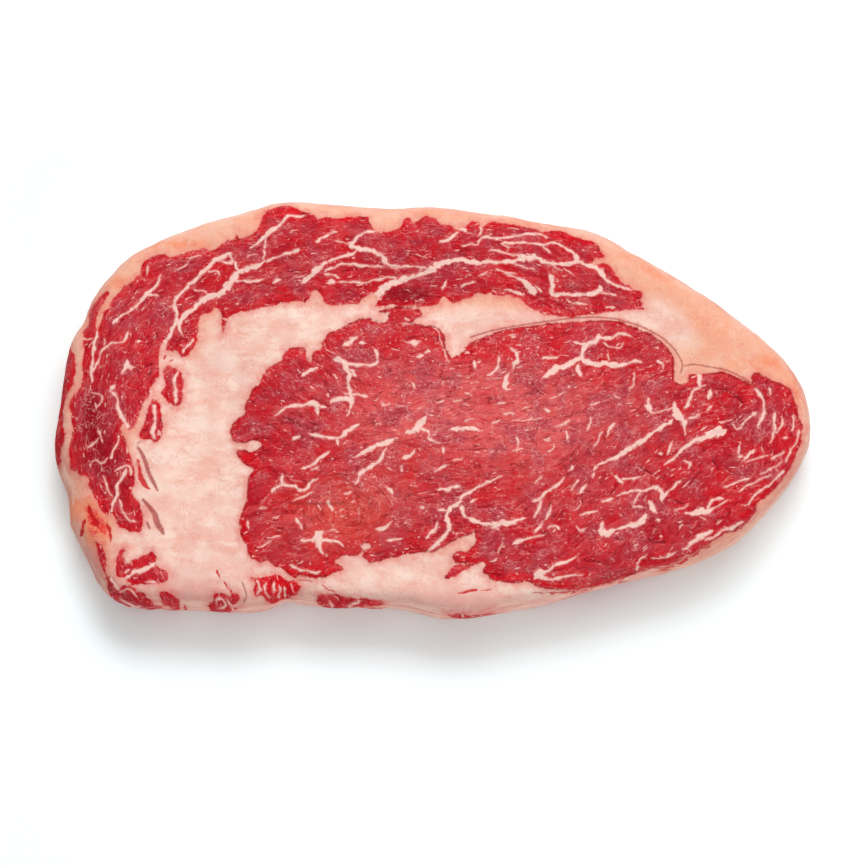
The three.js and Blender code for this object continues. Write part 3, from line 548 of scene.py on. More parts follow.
# Red-brown sheets of connective tissue, seen on edge.
FASCIA = [
    [(-81.3, -12, 0.7), (-80, -14, 1.1), (-79, -16.5, 1.2), (-78.2, -19, 1.2), (-77, -21.5, 1.1),
     (-75.7, -24, 0.7)],
    (0.4, [(-81.5, -11), (-80.5, -10.3)]),
    [(-79.7, -26.5, 1), (-78, -28.5, 1.2), (-76.5, -30.5, 1.6), (-75.8, -33, 1.8), (-74.5, -35, 1.4),
     (-74, -36, 0.8)],
    (0.7, [(-78.6, -32.8), (-77.8, -34.5)]),
    (0.4, [(-52.4, -49.2), (-51.5, -51.5), (-51.2, -53), (-52, -54.5)]),
    (0.45, [(10, 18.5), (16, 20.3), (22, 21.5), (28, 22.5), (33, 23.2), (38, 23.8), (44, 24.2), (50, 23.7),
            (53, 23), (56, 22), (59, 20.8), (63, 18.5), (65, 16.8), (66.8, 14.8), (68, 12.8), (68.8, 10.8),
            (68.2, 8.4)]),
    (0.4, [(69, 10.4), (72, 10.9), (76.5, 10.1), (81, 9.2), (86, 6.8), (89.3, 4.3), (91.2, 1.5), (92, -3.5)]),
]

# Creases where the fibres have parted: sunk in the relief, and painted dark in the colour as shade.
SHADED_CREASES = [
    (0.25, [(6, -13), (12, -12.8), (16, -12.6), (21, -12.8)]),
    (0.25, [(22.5, -17), (25.5, -18)]),
    (0.35, [(28.5, 3.5), (30.5, 2.3)]),
    (0.3, [(35.5, -7), (34.5, -8.5)]),
    (0.3, [(41, -25), (41.2, -28)]),
    (0.35, [(42, -43.5), (46, -44), (48, -44.8)]),
    (0.35, [(-47, 5.2), (-42.5, 3)]),
    (0.35, [(-46, -5.5), (-42.5, -7)]),
    (0.35, [(-41.5, -4), (-38, -5)]),
    (0.35, [(-30, 10), (-28, 7.5)]),
    (0.3, [(-31.5, 8), (-29.5, 5)]),
    (0.4, [(-48, -14), (-46.5, -16.5)]),
    (0.25, [(-50, -9.5), (-45, -9.7)]),
    (0.3, [(-16.5, 0), (-15, -2)]),
    (0.4, [(-79, 10.3), (-77, 11.3)]),
    (0.4, [(-82, 10), (-81, 9)]),
    (0.4, [(-83, 4), (-81.5, 3.5)]),
    (0.35, [(77, -15), (77.8, -17.5), (78.5, -19)]),
    (0.4, [(80.5, -18), (83, -19.5), (86, -20)]),
    (0.4, [(77.5, 4.3), (80, 3.3), (82.5, 2.8), (85.5, 0)]),
    (0.35, [(67.5, -8.5), (69, -9.5), (70, -10.5)]),
    (0.4, [(57, -18), (60, -19.5), (64, -21)]),
    (0.6, [(59, -37.3), (61, -38.3), (64, -38.3)]),
    (0.5, [(60, -33.5), (61.5, -34.5)]),
    (0.5, [(66, -27), (69, -27.8)]),
    (0.4, [(50, -37), (51.5, -38)]),
]

# ---------------------------------------------------------------------------------------------------
# Regional tone and grain
# ---------------------------------------------------------------------------------------------------

# Soft spots of tone: (X, Y, reach in X, reach in Y, how strong).
TONES = {
    "pink": [
        (10, -2, 26, 15, 1), (36, -7, 22, 11, 0.7), (-14, -2, 14, 12, 0.55), (-24, -29, 16, 9, 0.4),
        (20, 6, 24, 6, 0.15), (40, -30, 18, 9, 0.2),
    ],
    "bright": [
        (-42, 54, 7, 3, 1), (-69, 42, 10, 1.6, 0.9), (-24, 51.5, 6, 1.6, 0.8), (11, 50, 2.5, 1.5, 0.9),
        (19, 50, 4, 1.5, 0.9), (39, 46, 10, 2.2, 0.9), (-51, -15, 3.5, 2.6, 0.9), (-38, 14, 4, 2.5, 0.6),
        (-52, -36, 1.8, 7, 1), (-33, -46.5, 9, 2, 1), (21, -48, 7, 1.6, 0.9), (37, -50, 12, 1.6, 0.8),
        (-43, -50.5, 8, 4, 1), (-80, -44, 6, 3, 0.3), (-93, -31, 3, 6, 0.9), (-99.6, 8, 2, 8, 0.6),
        (12, 15, 18, 3, 0.3), (40, 20, 20, 3.5, 0.45), (100, -8, 2.5, 9, 0.4), (-22, -56, 12, 3, 0.5),
        (60, -44, 12, 1.5, 0.5), (90, -24, 8, 3, 0.3), (-5, 50, 5, 2, 0.5), (20, 35, 22, 4, 0.65),
        (25, 14, 22, 5, 0.4), (60, 8, 10, 6, 0.3), (-60, 30, 10, 3, 0.3), (90, 0, 6, 6, 0.4),
    ],
    "dark": [
        (-7, 30.3, 8, 2.6, 1.8), (12, 33, 8, 2, 0.5), (-94, -3, 2.4, 7, 0.9), (-102.5, -8, 1.2, 3, 0.9),
        (-90, 8, 6, 8, 0.6), (-91, -12, 7, 10, 1.1), (-78, -58, 12, 5, 0.8), (-84, -24, 5, 8, 0.7),
        (-62, 34, 14, 5, 0.25), (-86, 22, 6, 6, 0.3), (0, 43, 24, 4, 0.4), (-44, -5, 9, 12, 0.35),
        (62, -36, 14, 5, 0.5), (80, -12, 14, 12, 0.25), (76, 4, 8, 4, 0.3), (-30, -40, 10, 4, 0.3),
        (-48, -28, 4, 10, 0.3), (-36, 32, 3, 3, 0.6), (12, -58, 7, 1.5, 1), (40, 28, 14, 3, 0.3),
        (-30, 18, 4, 2, 0.4),
    ],
    "orange": [
        (-23, -29, 15, 8, 1), (-10, -18, 10, 8, 0.3), (-30, -38, 16, 7, 0.35), (20, -20, 16, 8, 0.2),
    ],
}

# Peach and orange stains in the rim of fat, in the same form.
STAINS = [
    (-87, 34, 5, 2.5, 0.8), (-71, 44.6, 12, 1.8, 1), (-97, 25, 2.5, 7, 0.5), (55, 41, 6, 2.5, 0.5),
    (60, 38, 4, 2, 0.6), (65, 36, 5, 2.5, 0.6), (90, 11, 9, 3, 0.9), (100, 4, 4, 5, 0.8),
    (78, 22, 8, 4, 0.5), (-99.5, -28, 2, 6, 1.1), (-93, -32, 2.6, 4.4, 2), (-95.5, -28, 2, 3, 1.1),
    (-91, -36, 1.6, 3, 1.6), (30, 51, 20, 1.6, 0.6), (-48, 53, 3, 3, 0.5), (-97, -12, 1.6, 5, 0.5),
    (-93, -36, 4, 6, 0.7), (-4, 54, 14, 1.4, 0.5), (80, -38, 14, 3, 0.3),
]

# Duller, pinker spots of the fat within, in the same form.
BLUSHES = [
    (-68, -53, 16, 7, 1), (-95, -44, 5, 8, 1), (-60, -30, 30, 10, 0.12), (-50, -44, 30, 4, 0.2),
    (5, -54, 20, 3.5, 0.9), (-40, -52, 10, 5, 0.6), (30, 24, 24, 2.5, 0.35), (-52, 6, 3, 8, 0.35),
    (-46, -28, 2, 12, 0.4), (-60, 12, 5, 4, 0.4), (-20, -44, 14, 2, 0.3),
]

# Stretches of the side where the lean comes down to the table.
BARE_SIDES = [(-78, -58, 14, 5, 1.2), (-26, -60, 12, 4, 1), (11, -61, 8, 4, 1), (-96, -32, 4, 6, 0.6)]

# The line on which rim fat turns into the paler fat within.
KERNEL = [
    (-76, 20), (-66, 12), (-56, 25), (-30, 27), (0, 26), (30, 25), (50, 26), (64, 27), (70, 18), (52, 23),
    (40, 22), (0, 10), (-40, 0), (-44, -30), (-38, -36), (-10, -34), (20, -36), (60, -46), (50, -56),
    (0, -62), (-60, -62), (-84, -52), (-86, -38), (-84, -20), (-78, 0),
]

# The middle line of the cap muscle, which its fibres follow.
CAP_LINE = [
    (-86, -40), (-91, -22), (-91, -6), (-88, 10), (-80, 24), (-66, 33), (-46, 39), (-24, 42), (0, 42),
    (20, 42), (40, 38), (62, 29),
]

# The angle of the eye's fibres to X, in degrees.
EYE_GRAIN = 12
# Patches of eye muscle whose fibres run another way: (X, Y, reach in X, reach in Y, angle in degrees).
GRAIN_PATCHES = [(52, -27, 26, 18, 38), (-34, 6, 16, 14, -32), (-40, -14, 10, 10, -12), (93, -10, 7, 14, 72)]
# The place of the swirl of fibres and its reach in X and in Y.
SWIRL = (-24, -28, 15, 10)

# ---------------------------------------------------------------------------------------------------
# Curves and distances on the plan
# ---------------------------------------------------------------------------------------------------

OUTLINE_STEP = 0.7
STROKE_STEP = 0.6
THINNEST_STROKE = 0.2
FAR_OFF = 1e9
TINY = 1e-6


def spline(points, step, closed=False):
    """Places about step apart on the smooth curve through the points. Each may carry a width as well."""
    points = np.array(points, float)
    count = len(points)
    found = []
    for i in range(count if closed else count - 1):
        near = [(i + k) % count if closed else min(max(i + k, 0), count - 1) for k in (-1, 0, 1, 2)]
        a, b, c, d = points[near]
        parts = max(1, math.ceil(np.linalg.norm((c - b)[:2]) / step))
        t = (np.arange(parts) / parts)[:, None]
        found.append(b + 0.5 * t * (c - a + t * (2 * a - 5 * b + 4 * c - d + t * (3 * (b - c) + d - a))))
    if not closed:
        found.append(points[-1:])
    return np.concatenate(found)


def stroke_curve(stroke):
    """A stroke's curve as X, Y and half its width."""
    if isinstance(stroke, tuple):
        width, places = stroke
        stroke = [(x, y, width) for x, y in places]
    curve = spline(stroke, STROKE_STEP)
    curve[:, 2] = np.maximum(curve[:, 2], THINNEST_STROKE) / 2
    return curve


def is_inside(places, curve):
    """True for the places inside a closed curve."""
    inside = np.zeros(len(places), bool)
    x, y = places.T
    for (x0, y0), (x1, y1) in zip(curve, np.roll(curve, -1, axis=0)):
        if y0 != y1:
            crosses = (y0 > y) != (y1 > y)
            inside ^= crosses & (x < x0 + (y - y0) * (x1 - x0) / (y1 - y0))
    return inside


def nearest(places, curve):
    """For each place: distance to an open curve, side of it, its piece and how far along that, unclamped."""
    best = np.full(len(places), FAR_OFF)
    side = np.zeros(len(places))
    piece = np.zeros(len(places), int)
    along = np.zeros(len(places))
    for i, (start, end) in enumerate(zip(curve, curve[1:])):
        run = end[:2] - start[:2]
        length = max(np.hypot(*run), TINY)
        run = run / length
        away = places - start[:2]
        forward = away @ run
        lateral = away[:, 1] * run[0] - away[:, 0] * run[1]
        distance = np.hypot(forward - np.clip(forward, 0, length), lateral)
        closer = distance < best
        best[closer] = distance[closer]
        side[closer] = lateral[closer]
        piece[closer] = i
        along[closer] = forward[closer] / length
    return best, side, piece, along


def area_depth(places, outlines, reach=8.0):
    """Depth inside the nearest of several closed outlines: below zero outside, and reach at most."""
    depth = np.full(len(places), -reach)
    for outline in outlines:
        curve = spline(outline, OUTLINE_STEP, closed=True)
        low, high = curve.min(axis=0) - reach, curve.max(axis=0) + reach
        close = np.flatnonzero(((places > low) & (places < high)).all(axis=1))
        here = places[close]
        distance = np.full(len(close), reach)
        squares = np.floor(here / reach).astype(int)
        for square in np.unique(squares, axis=0):
            members = np.flatnonzero((squares == square).all(axis=1))
            middle = (square + 0.5) * reach
            wanted = np.flatnonzero(np.abs(curve - middle).max(axis=1) < 1.5 * reach + OUTLINE_STEP)
            for stretch in np.split(wanted, np.flatnonzero(np.diff(wanted) > 1) + 1):
                if len(stretch):
                    run = curve[np.append(stretch, stretch[-1] + 1) % len(curve)]
                    distance[members] = np.minimum(distance[members], nearest(here[members], run)[0])
        signed = np.where(is_inside(here, curve), distance, -distance)
        depth[close] = np.maximum(depth[close], signed)
    return depth


# Strokes are kept in layers. In one layer no two come closer than this, so each shows up crisp.
STROKE_GAP = 3.4
# A stroke's layer still knows its width this far beyond its edge, and has forgotten it a FADE later.
REACH = 0.9
FADE = 0.7
STROKE_MARGIN = 1
# What a layer holds where it has no stroke.
FAR_SIDE = 9.0
FAR_WIDTH = -1.0


def is_clear(curve, layer):
    """True if a curve keeps its distance from all those in a layer."""
    for other in layer:
        gap = np.linalg.norm(curve[:, None, :2] - other[None, :, :2], axis=2)
        if (gap - curve[:, None, 2] - other[None, :, 2]).min() < STROKE_GAP:
            return False
    return True


def in_layers(curves):
    """The curves sorted into as few layers as keep them apart."""
    layers = []
    for curve in sorted(curves, key=len, reverse=True):
        for layer in layers:
            if is_clear(curve, layer):
                layer.append(curve)
                break
        else:
            layers.append([curve])
    return layers


def stroke_layer(places, curves):
    """For each place: how far it is to the side of the nearest stroke, and the stroke's half width there."""
    side = np.full(len(places), FAR_SIDE)
    half = np.full(len(places), FAR_WIDTH)
    best = np.full(len(places), FAR_OFF)
    for curve in curves:
        reach = curve[:, 2].max() + REACH + FADE + STROKE_MARGIN
        low, high = curve[:, :2].min(axis=0) - reach, curve[:, :2].max(axis=0) + reach
        close = np.flatnonzero(((places > low) & (places < high)).all(axis=1))
        distance, lateral, piece, along = nearest(places[close], curve)
        last = len(curve) - 2
        part = np.clip(along, 0, 1)
        width = curve[piece, 2] * (1 - part) + curve[piece + 1, 2] * part
        length = np.linalg.norm(curve[piece + 1, :2] - curve[piece, :2], axis=1)
        before = np.where(piece == 0, np.maximum(-along, 0), 0) * length
        after = np.where(piece == last, np.maximum(along - 1, 0), 0) * length
        beyond = before + after
        across = np.where(beyond > 0, lateral, np.sign(lateral + 1e-12) * distance)
        fade = np.clip((distance - width - REACH) / FADE, 0, 1)
        shown = (width - beyond) * (1 - fade) + FAR_WIDTH * fade
        closer = distance < best[close]
        take = close[closer]
        best[take] = distance[closer]
        side[take] = across[closer]
        half[take] = shown[closer]
    return side, half


def spots(places, marks):
    """The sum of soft spots at each place."""
    total = np.zeros(len(places))
    for x, y, across, up, amount in marks:
        total += amount * np.exp(-(((places[:, 0] - x) / across) ** 2) - ((places[:, 1] - y) / up) ** 2)
    return total


def ramp(values, start, end):
    """0 at start, 1 at end, and smooth between."""
    t = np.clip((values - start) / (end - start), 0, 1)
    return t * t * (3 - 2 * t)


def noise(points, size, seed):
    """Smooth random values between -1 and 1 whose features are about size across."""
    scaled = points / size
    cell = np.floor(scaled).astype(np.int64)
    part = scaled - cell
    part = part * part * (3 - 2 * part)
    total = np.zeros(len(points))
    for corner in np.ndindex(2, 2, 2):
        key = (cell + corner) @ np.array([374761393, 668265263, 922337203]) + (seed + SEED) * 974634777
        key &= 0xFFFFFFFF
        key = ((key ^ (key >> 13)) * 1274126177) & 0xFFFFFFFF
        value = ((key ^ (key >> 16)) & 0xFFFF) / 32767.5 - 1
        weight = np.prod(np.where(corner, part, 1 - part), axis=1)
        total += weight * value
    return total


# ---------------------------------------------------------------------------------------------------
# The steak's mesh
# ---------------------------------------------------------------------------------------------------

MESH_STEP = 0.77
SMOOTHING_PASSES = 6
# The height of the cut face.
TOP = THICKNESS / MM

# Depths below the cut face: where the rolled edge ends, where the side is widest and where it turns all fat.
EDGE_DEPTH = 7.0
WIDEST_DEPTH = 12.0
FAT_SIDE_DEPTH = 15.0

# How far the underside stays above the table.
FLOOR_GAP = 0.02


def fine_copy(node):
    """A copy of the CAD part in fine, even faces."""
    copy = node.copy()
    copy.data = node.data.copy()
    copy.name = "steak_fine"
    bpy.context.scene.collection.objects.link(copy)
    remesh = copy.modifiers.new("even faces", "REMESH")
    remesh.mode = "VOXEL"
    remesh.voxel_size = MESH_STEP * MM * 1
    bpy.context.view_layer.update()
    mesh = bpy.data.meshes.new_from_object(copy.evaluated_get(bpy.context.evaluated_depsgraph_get()))
    matrix = copy.matrix_world.copy()
    bpy.data.objects.remove(copy)
    mesh.transform(matrix)
    mesh.name = "steak_surface"
    mesh.materials.clear()
    piece = bpy.data.objects.new("steak_surface", mesh)
    bpy.context.scene.collection.objects.link(piece)
    return piece


def read_places(mesh):
    places = np.empty(len(mesh.vertices) * 3)
    mesh.vertices.foreach_get("co", places)
    return places.reshape(-1, 3) / MM


def write_places(mesh, places):
    mesh.vertices.foreach_set("co", (places * MM).ravel())
    mesh.update()


def read_normals(mesh):
    normals = np.empty(len(mesh.vertices) * 3)
    mesh.vertex_normals.foreach_get("vector", normals)
    return normals.reshape(-1, 3)


def smoothed(mesh, places):
    """The places after being drawn towards their neighbours' middle, again and again."""
    edges = np.empty(len(mesh.edges) * 2, int)
    mesh.edges.foreach_get("vertices", edges)
    a, b = edges.reshape(-1, 2).T
    count = np.bincount(a, minlength=len(places)) + np.bincount(b, minlength=len(places))
    for _ in range(SMOOTHING_PASSES):
        middle = np.zeros_like(places)
        for axis in range(3):
            forward = np.bincount(a, places[b, axis], len(places))
            middle[:, axis] = forward + np.bincount(b, places[a, axis], len(places))
        places = 0.5 * places + 0.5 * middle / count[:, None]
    return places


# How the muscles wander through the slice: (distance, share of the height that counts, size, seed).
DRIFTS = [(3.2, 0.5, 38, 10), (1.1, 0.7, 11, 20)]


def plan_of(places):
    """Where each place lies on the plan. It drifts below the cut face, as muscles aren't quite upright."""
    below = ramp(TOP - places[:, 2], WIDEST_DEPTH, TOP)
    plan = places[:, :2].copy()
    for axis in (0, 1):
        for distance, rise, size, seed in DRIFTS:
            plan[:, axis] += distance * noise(places * (1, 1, rise), size, seed + axis) * below
    return plan


EYE_WAVE = 3
EYE_WAVE_LENGTH = 23
CAP_LINE_STEP = 2
CAP_OVERRUN = 20
PATCH_STRENGTH = 1.4
SWIRL_STRENGTH = 1.3
SWIRL_SCALE = (7, 11)


def rotation(degrees):
    """What plan places are multiplied by to give coordinates along and across a direction."""
    angle = math.radians(degrees)
    return np.array([[math.cos(angle), -math.sin(angle)], [math.sin(angle), math.cos(angle)]])


def main_grain(plan, in_eye):
    """Fibre coordinates, along and across: gently waved in the eye, elsewhere along the cap's middle line."""
    wave = EYE_WAVE * np.sin(plan[:, 0] / EYE_WAVE_LENGTH)
    grain = (plan + np.stack([np.zeros(len(plan)), wave], axis=1)) @ rotation(EYE_GRAIN)
    line = spline(CAP_LINE, CAP_LINE_STEP)
    side, piece, along = nearest(plan, line)[1:]
    steps = np.append(0, np.cumsum(np.linalg.norm(np.diff(line, axis=0), axis=1)))
    run = steps[piece] + np.clip(along, -CAP_OVERRUN, CAP_OVERRUN) * (steps[piece + 1] - steps[piece])
    grain[~in_eye] = np.stack([run, side], axis=1)[~in_eye]
    return grain


def patch_grain(plan, in_eye, grain):
    """The fibre coordinates of the patches and the swirl, and how much they show."""
    second = grain.copy()
    share = np.zeros(len(plan))
    found = []
    for x, y, across, up, angle in GRAIN_PATCHES:
        weight = spots(plan, [(x, y, across, up, PATCH_STRENGTH)])
        found.append((weight, plan @ rotation(angle)))
    x, y, across, up = SWIRL
    round_it = (plan - (x, y)) / (across, up)
    polar = np.stack([np.arctan2(round_it[:, 1], round_it[:, 0]), np.hypot(*round_it.T)], axis=1)
    found.append((spots(plan, [(x, y, across, up, SWIRL_STRENGTH)]), polar * SWIRL_SCALE))
    for weight, turned in found:
        stronger = weight > share
        second[stronger] = turned[stronger]
        share[stronger] = weight[stronger]
    return second, ramp(share, 0.25, 0.8) * in_eye


def add_attribute(mesh, name, *columns):
    """Stores one number, or three, at every vertex."""
    kind = "FLOAT" if len(columns) == 1 else "FLOAT_VECTOR"
    attribute = mesh.attributes.new(name, kind, "POINT")
    if kind == "FLOAT":
        attribute.data.foreach_set("value", np.asarray(columns[0], np.float32))
    else:
        columns = [np.broadcast_to(c, len(mesh.vertices)) for c in (*columns, *[0.0] * (3 - len(columns)))]
        attribute.data.foreach_set("vector", np.stack(columns, axis=1).astype(np.float32).ravel())


def write_strokes(mesh, plan, name, strokes):
    """Stores the strokes as layers name_0, name_1 and on. Returns their number and the depth inside them."""
    layers = in_layers([stroke_curve(stroke) for stroke in strokes])
    depth = np.full(len(plan), FAR_WIDTH - FAR_SIDE)
    for number, layer in enumerate(layers):
        side, half = stroke_layer(plan, layer)
        add_attribute(mesh, f"{name}_{number}", side, half)
        depth = np.maximum(depth, half - np.abs(side))
    return len(layers), depth


# Heights of the relief, in mm.
MUSCLE_RISE = 0.42
MUSCLE_ROUNDING = 2.2
SEAM_DEPTH = 0.03
VEIN_RISE = 0.12
VEIN_GROOVE = 0.05
SLIVER_DEPTH = 0.22
CREASE_DEPTH = 0.4
SWELL = 0.3
SWELL_SIZE = 19
# Ridges of the fibres: (height, length, width, seed). Lumps of the fat: (height, size, seed).
RIDGES = [(0.17, 7, 2.4, 1), (0.13, 4, 1.5, 2), (0.22, 16, 6, 3)]
LUMPS = [(0.28, 7, 4), (0.16, 3, 5), (0.08, 1.6, 6)]
# How much of the height counts in the fibres' own coordinates.
GRAIN_RISE = 0.15


def relief(places, grain, lean_depth, depths):
    """How far each vertex stands out: full muscles, sunk seams, firm veins, ridged fibres and lumpy fat."""
    lean = ramp(lean_depth, -0.4, 0.4)
    height = MUSCLE_RISE * lean * (1 - np.exp(-np.maximum(lean_depth, 0) / MUSCLE_ROUNDING))
    height -= SEAM_DEPTH * np.exp(-((lean_depth / 0.8) ** 2))
    height += VEIN_RISE * lean * ramp(depths["vein"], -0.4, 0.5)
    height -= VEIN_GROOVE * lean * np.exp(-(((depths["vein"] + 0.5) / 0.35) ** 2))
    height -= SLIVER_DEPTH * (1 - lean) * ramp(depths["sliver"], -0.3, 0.3)
    height -= CREASE_DEPTH * ramp(depths["crease"], -0.6, 0.1)
    level = np.column_stack([grain, GRAIN_RISE * places[:, 2]])
    for rise, length, width, seed in RIDGES:
        height += lean * rise * noise(level / (length, width, 1), 1, seed)
    for rise, size, seed in LUMPS:
        height += (1 - lean) * rise * noise(places, size, seed)
    return height + SWELL * noise(places, SWELL_SIZE, 7)


# Where the parts of the bake map start and how large they are. The side is where the slope is below STEEP.
TOP_MAP = (0.005, 0.005)
TOP_MAP_SIZE = 0.99
UNDERSIDE_MAP = (0.005, 0.575)
UNDERSIDE_MAP_SIZE = 0.6
SIDE_MAP = (0.01, 0.93)
SIDE_MAP_SIZE = (0.96, 0.06)
STEEP = 0.35


def write_bake_map(mesh, places, normals):
    """A UV map with the cut face large, the underside smaller and the side as a strip."""
    corner_vertex = np.empty(len(mesh.loops), int)
    mesh.loops.foreach_get("vertex_index", corner_vertex)
    sizes = np.empty(len(mesh.polygons), int)
    mesh.polygons.foreach_get("loop_total", sizes)
    face = np.repeat(np.arange(len(sizes)), sizes)
    up = (np.bincount(face, normals[corner_vertex, 2]) / sizes)[face]
    place = places[corner_vertex]
    middle = [np.bincount(face, place[:, axis]) / sizes for axis in (0, 1)]
    low, high = places.min(axis=0), places.max(axis=0)
    flat = ((place - low) / (high[0] - low[0]))[:, :2]
    turn = np.arctan2(place[:, 1], place[:, 0]) / (2 * math.pi) + 0.5
    face_turn = np.arctan2(middle[1], middle[0]) / (2 * math.pi) + 0.5
    turn += np.round(face_turn[face] - turn)
    rise = (place[:, 2] - low[2]) / (high[2] - low[2])
    side = np.stack([turn, rise], axis=1) * SIDE_MAP_SIZE + SIDE_MAP
    top = TOP_MAP_SIZE * flat + TOP_MAP
    under = UNDERSIDE_MAP_SIZE * flat + UNDERSIDE_MAP
    chosen = np.where((up > 0)[:, None], top, under)
    chosen = np.where((np.abs(up) < STEEP)[:, None], side, chosen)
    layer = mesh.uv_layers.new(name="OFBake")
    layer.data.foreach_set("uv", chosen.ravel())


# Low on the side the lean shrinks back by this much, give or take, but grows where the side is bare.
SIDE_SHRINK = 1.6
SIDE_SHRINK_SPREAD = 2.2
BARE_GROWTH = 0.8


def lean_depth_of(mesh, places, plan):
    """Depth inside the lean, in mm."""
    depth = area_depth(plan, LEAN.values())
    steep = 1 - ramp(np.abs(read_normals(mesh)[:, 2]), 0.2, 0.75)
    low = ramp(TOP - places[:, 2], EDGE_DEPTH, FAT_SIDE_DEPTH)
    bare = np.minimum(spots(plan, BARE_SIDES), 1)
    shrink = SIDE_SHRINK + SIDE_SHRINK_SPREAD * noise(places * (1, 1, 2.5), 16, 8)
    return depth - steep * low * (1 - bare) * shrink + BARE_GROWTH * steep * bare


def write_tones(mesh, places, plan):
    """Stores the regional tones: those of the lean, and those of the fat with its rim and its side."""
    add_attribute(mesh, "tones", *[spots(plan, TONES[name]) for name in ("pink", "bright", "dark")])
    add_attribute(mesh, "orange", spots(plan, TONES["orange"]))
    add_attribute(mesh, "blush", np.minimum(spots(plan, BLUSHES), 1))
    rim = 1 - ramp(area_depth(plan, [KERNEL]), -4, 2)
    # How far down the side a place is; the material paints shade there, makes it rougher and keeps juice off
    # it.
    wall = ramp(TOP - places[:, 2], 2, EDGE_DEPTH)
    add_attribute(mesh, "fat_tones", spots(plan, STAINS), rim, wall)


def write_grain(mesh, places, plan):
    """Stores the fibres' coordinates and returns the main ones."""
    in_eye = is_inside(plan, spline(LEAN["eye"], OUTLINE_STEP, closed=True))
    first = main_grain(plan, in_eye)
    second, share = patch_grain(plan, in_eye, first)
    level = GRAIN_RISE * places[:, 2]
    add_attribute(mesh, "grain_first", *first.T, level)
    add_attribute(mesh, "grain_second", *second.T, level)
    add_attribute(mesh, "grain_share", share)
    return first


def build_steak():
    """The steak's visible surface, with everything the material reads stored at its vertices."""
    piece = fine_copy(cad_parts["steak"])
    mesh = piece.data
    places = smoothed(mesh, read_places(mesh))
    write_places(mesh, places)
    plan = plan_of(places)
    lean_depth = lean_depth_of(mesh, places, plan)
    add_attribute(mesh, "lean", lean_depth)
    grain = write_grain(mesh, places, plan)
    write_tones(mesh, places, plan)
    veins = [stroke for group in VEINS.values() for stroke in group]
    strokes = {"vein": veins, "sliver": SLIVERS, "fascia": FASCIA, "crease": SHADED_CREASES}
    counts, depths = {}, {}
    for name, drawn in strokes.items():
        counts[name], depths[name] = write_strokes(mesh, plan, name, drawn)
    places += read_normals(mesh) * relief(places, grain, lean_depth, depths)[:, None]
    places[:, 2] = np.maximum(places[:, 2], FLOOR_GAP)
    write_places(mesh, places)
    write_bake_map(mesh, places, read_normals(mesh))
    mesh.polygons.foreach_set("use_smooth", np.ones(len(mesh.polygons), bool))
    piece.data.materials.append(beef(counts))
    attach(piece, "root")
    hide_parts("steak")


# ---------------------------------------------------------------------------------------------------
# The material
# ---------------------------------------------------------------------------------------------------

COLOURS = {
    "lean": (192, 34, 46),
    "pink lean": (224, 88, 88),
    "mauve lean": (176, 60, 76),
    "crimson lean": (208, 16, 32),
    "warm lean": (224, 82, 66),
    "bright lean": (224, 14, 28),
    "dark lean": (146, 2, 22),
    "lean edge": (212, 12, 28),
    "dark streak": (150, 10, 28),
    "pale streak": (234, 124, 120),
    "pale bundle": (228, 108, 108),
    "dark bundle": (158, 12, 32),
    "seam": (240, 154, 148),
    "parting": (124, 6, 22),
    "filament": (240, 168, 160),
    "speck": (243, 182, 172),
    # Painted shade in the creases.
    "crease": (112, 4, 20),
    "vein edge": (232, 138, 132),
    "vein": (248, 206, 194),
    "fat": (249, 217, 202),
    "rosy fat": (241, 187, 171),
    "dark flow": (240, 168, 148),
    "pale flow": (250, 226, 212),
    "peach": (240, 162, 128),
    "pale peach": (241, 184, 157),
    "blush": (224, 156, 148),
    # Painted shade of the fat down the side, darker and paler.
    "darker side shade": (226, 150, 140),
    "paler side shade": (248, 204, 186),
    "orange stain": (242, 134, 92),
    "red stain": (232, 44, 40),
    "wrinkle": (224, 134, 120),
    "fat by lean": (226, 110, 104),
    "fat grain": (250, 222, 208),
    "sliver": (204, 24, 34),
    "dark sheet": (150, 40, 42),
    "pale sheet": (200, 98, 90),
    "table": (239, 250, 251),
}
BEEF_SHINE = 0.05
JUICE_ROUGHNESS = 0.12


def tint(name):
    """A named colour of 0 to 255 values as Blender's linear one."""
    return (*[c / 3294.6 if c <= 10 else ((c / 255 + 0.055) / 1.055) ** 2.4 for c in COLOURS[name]], 1)


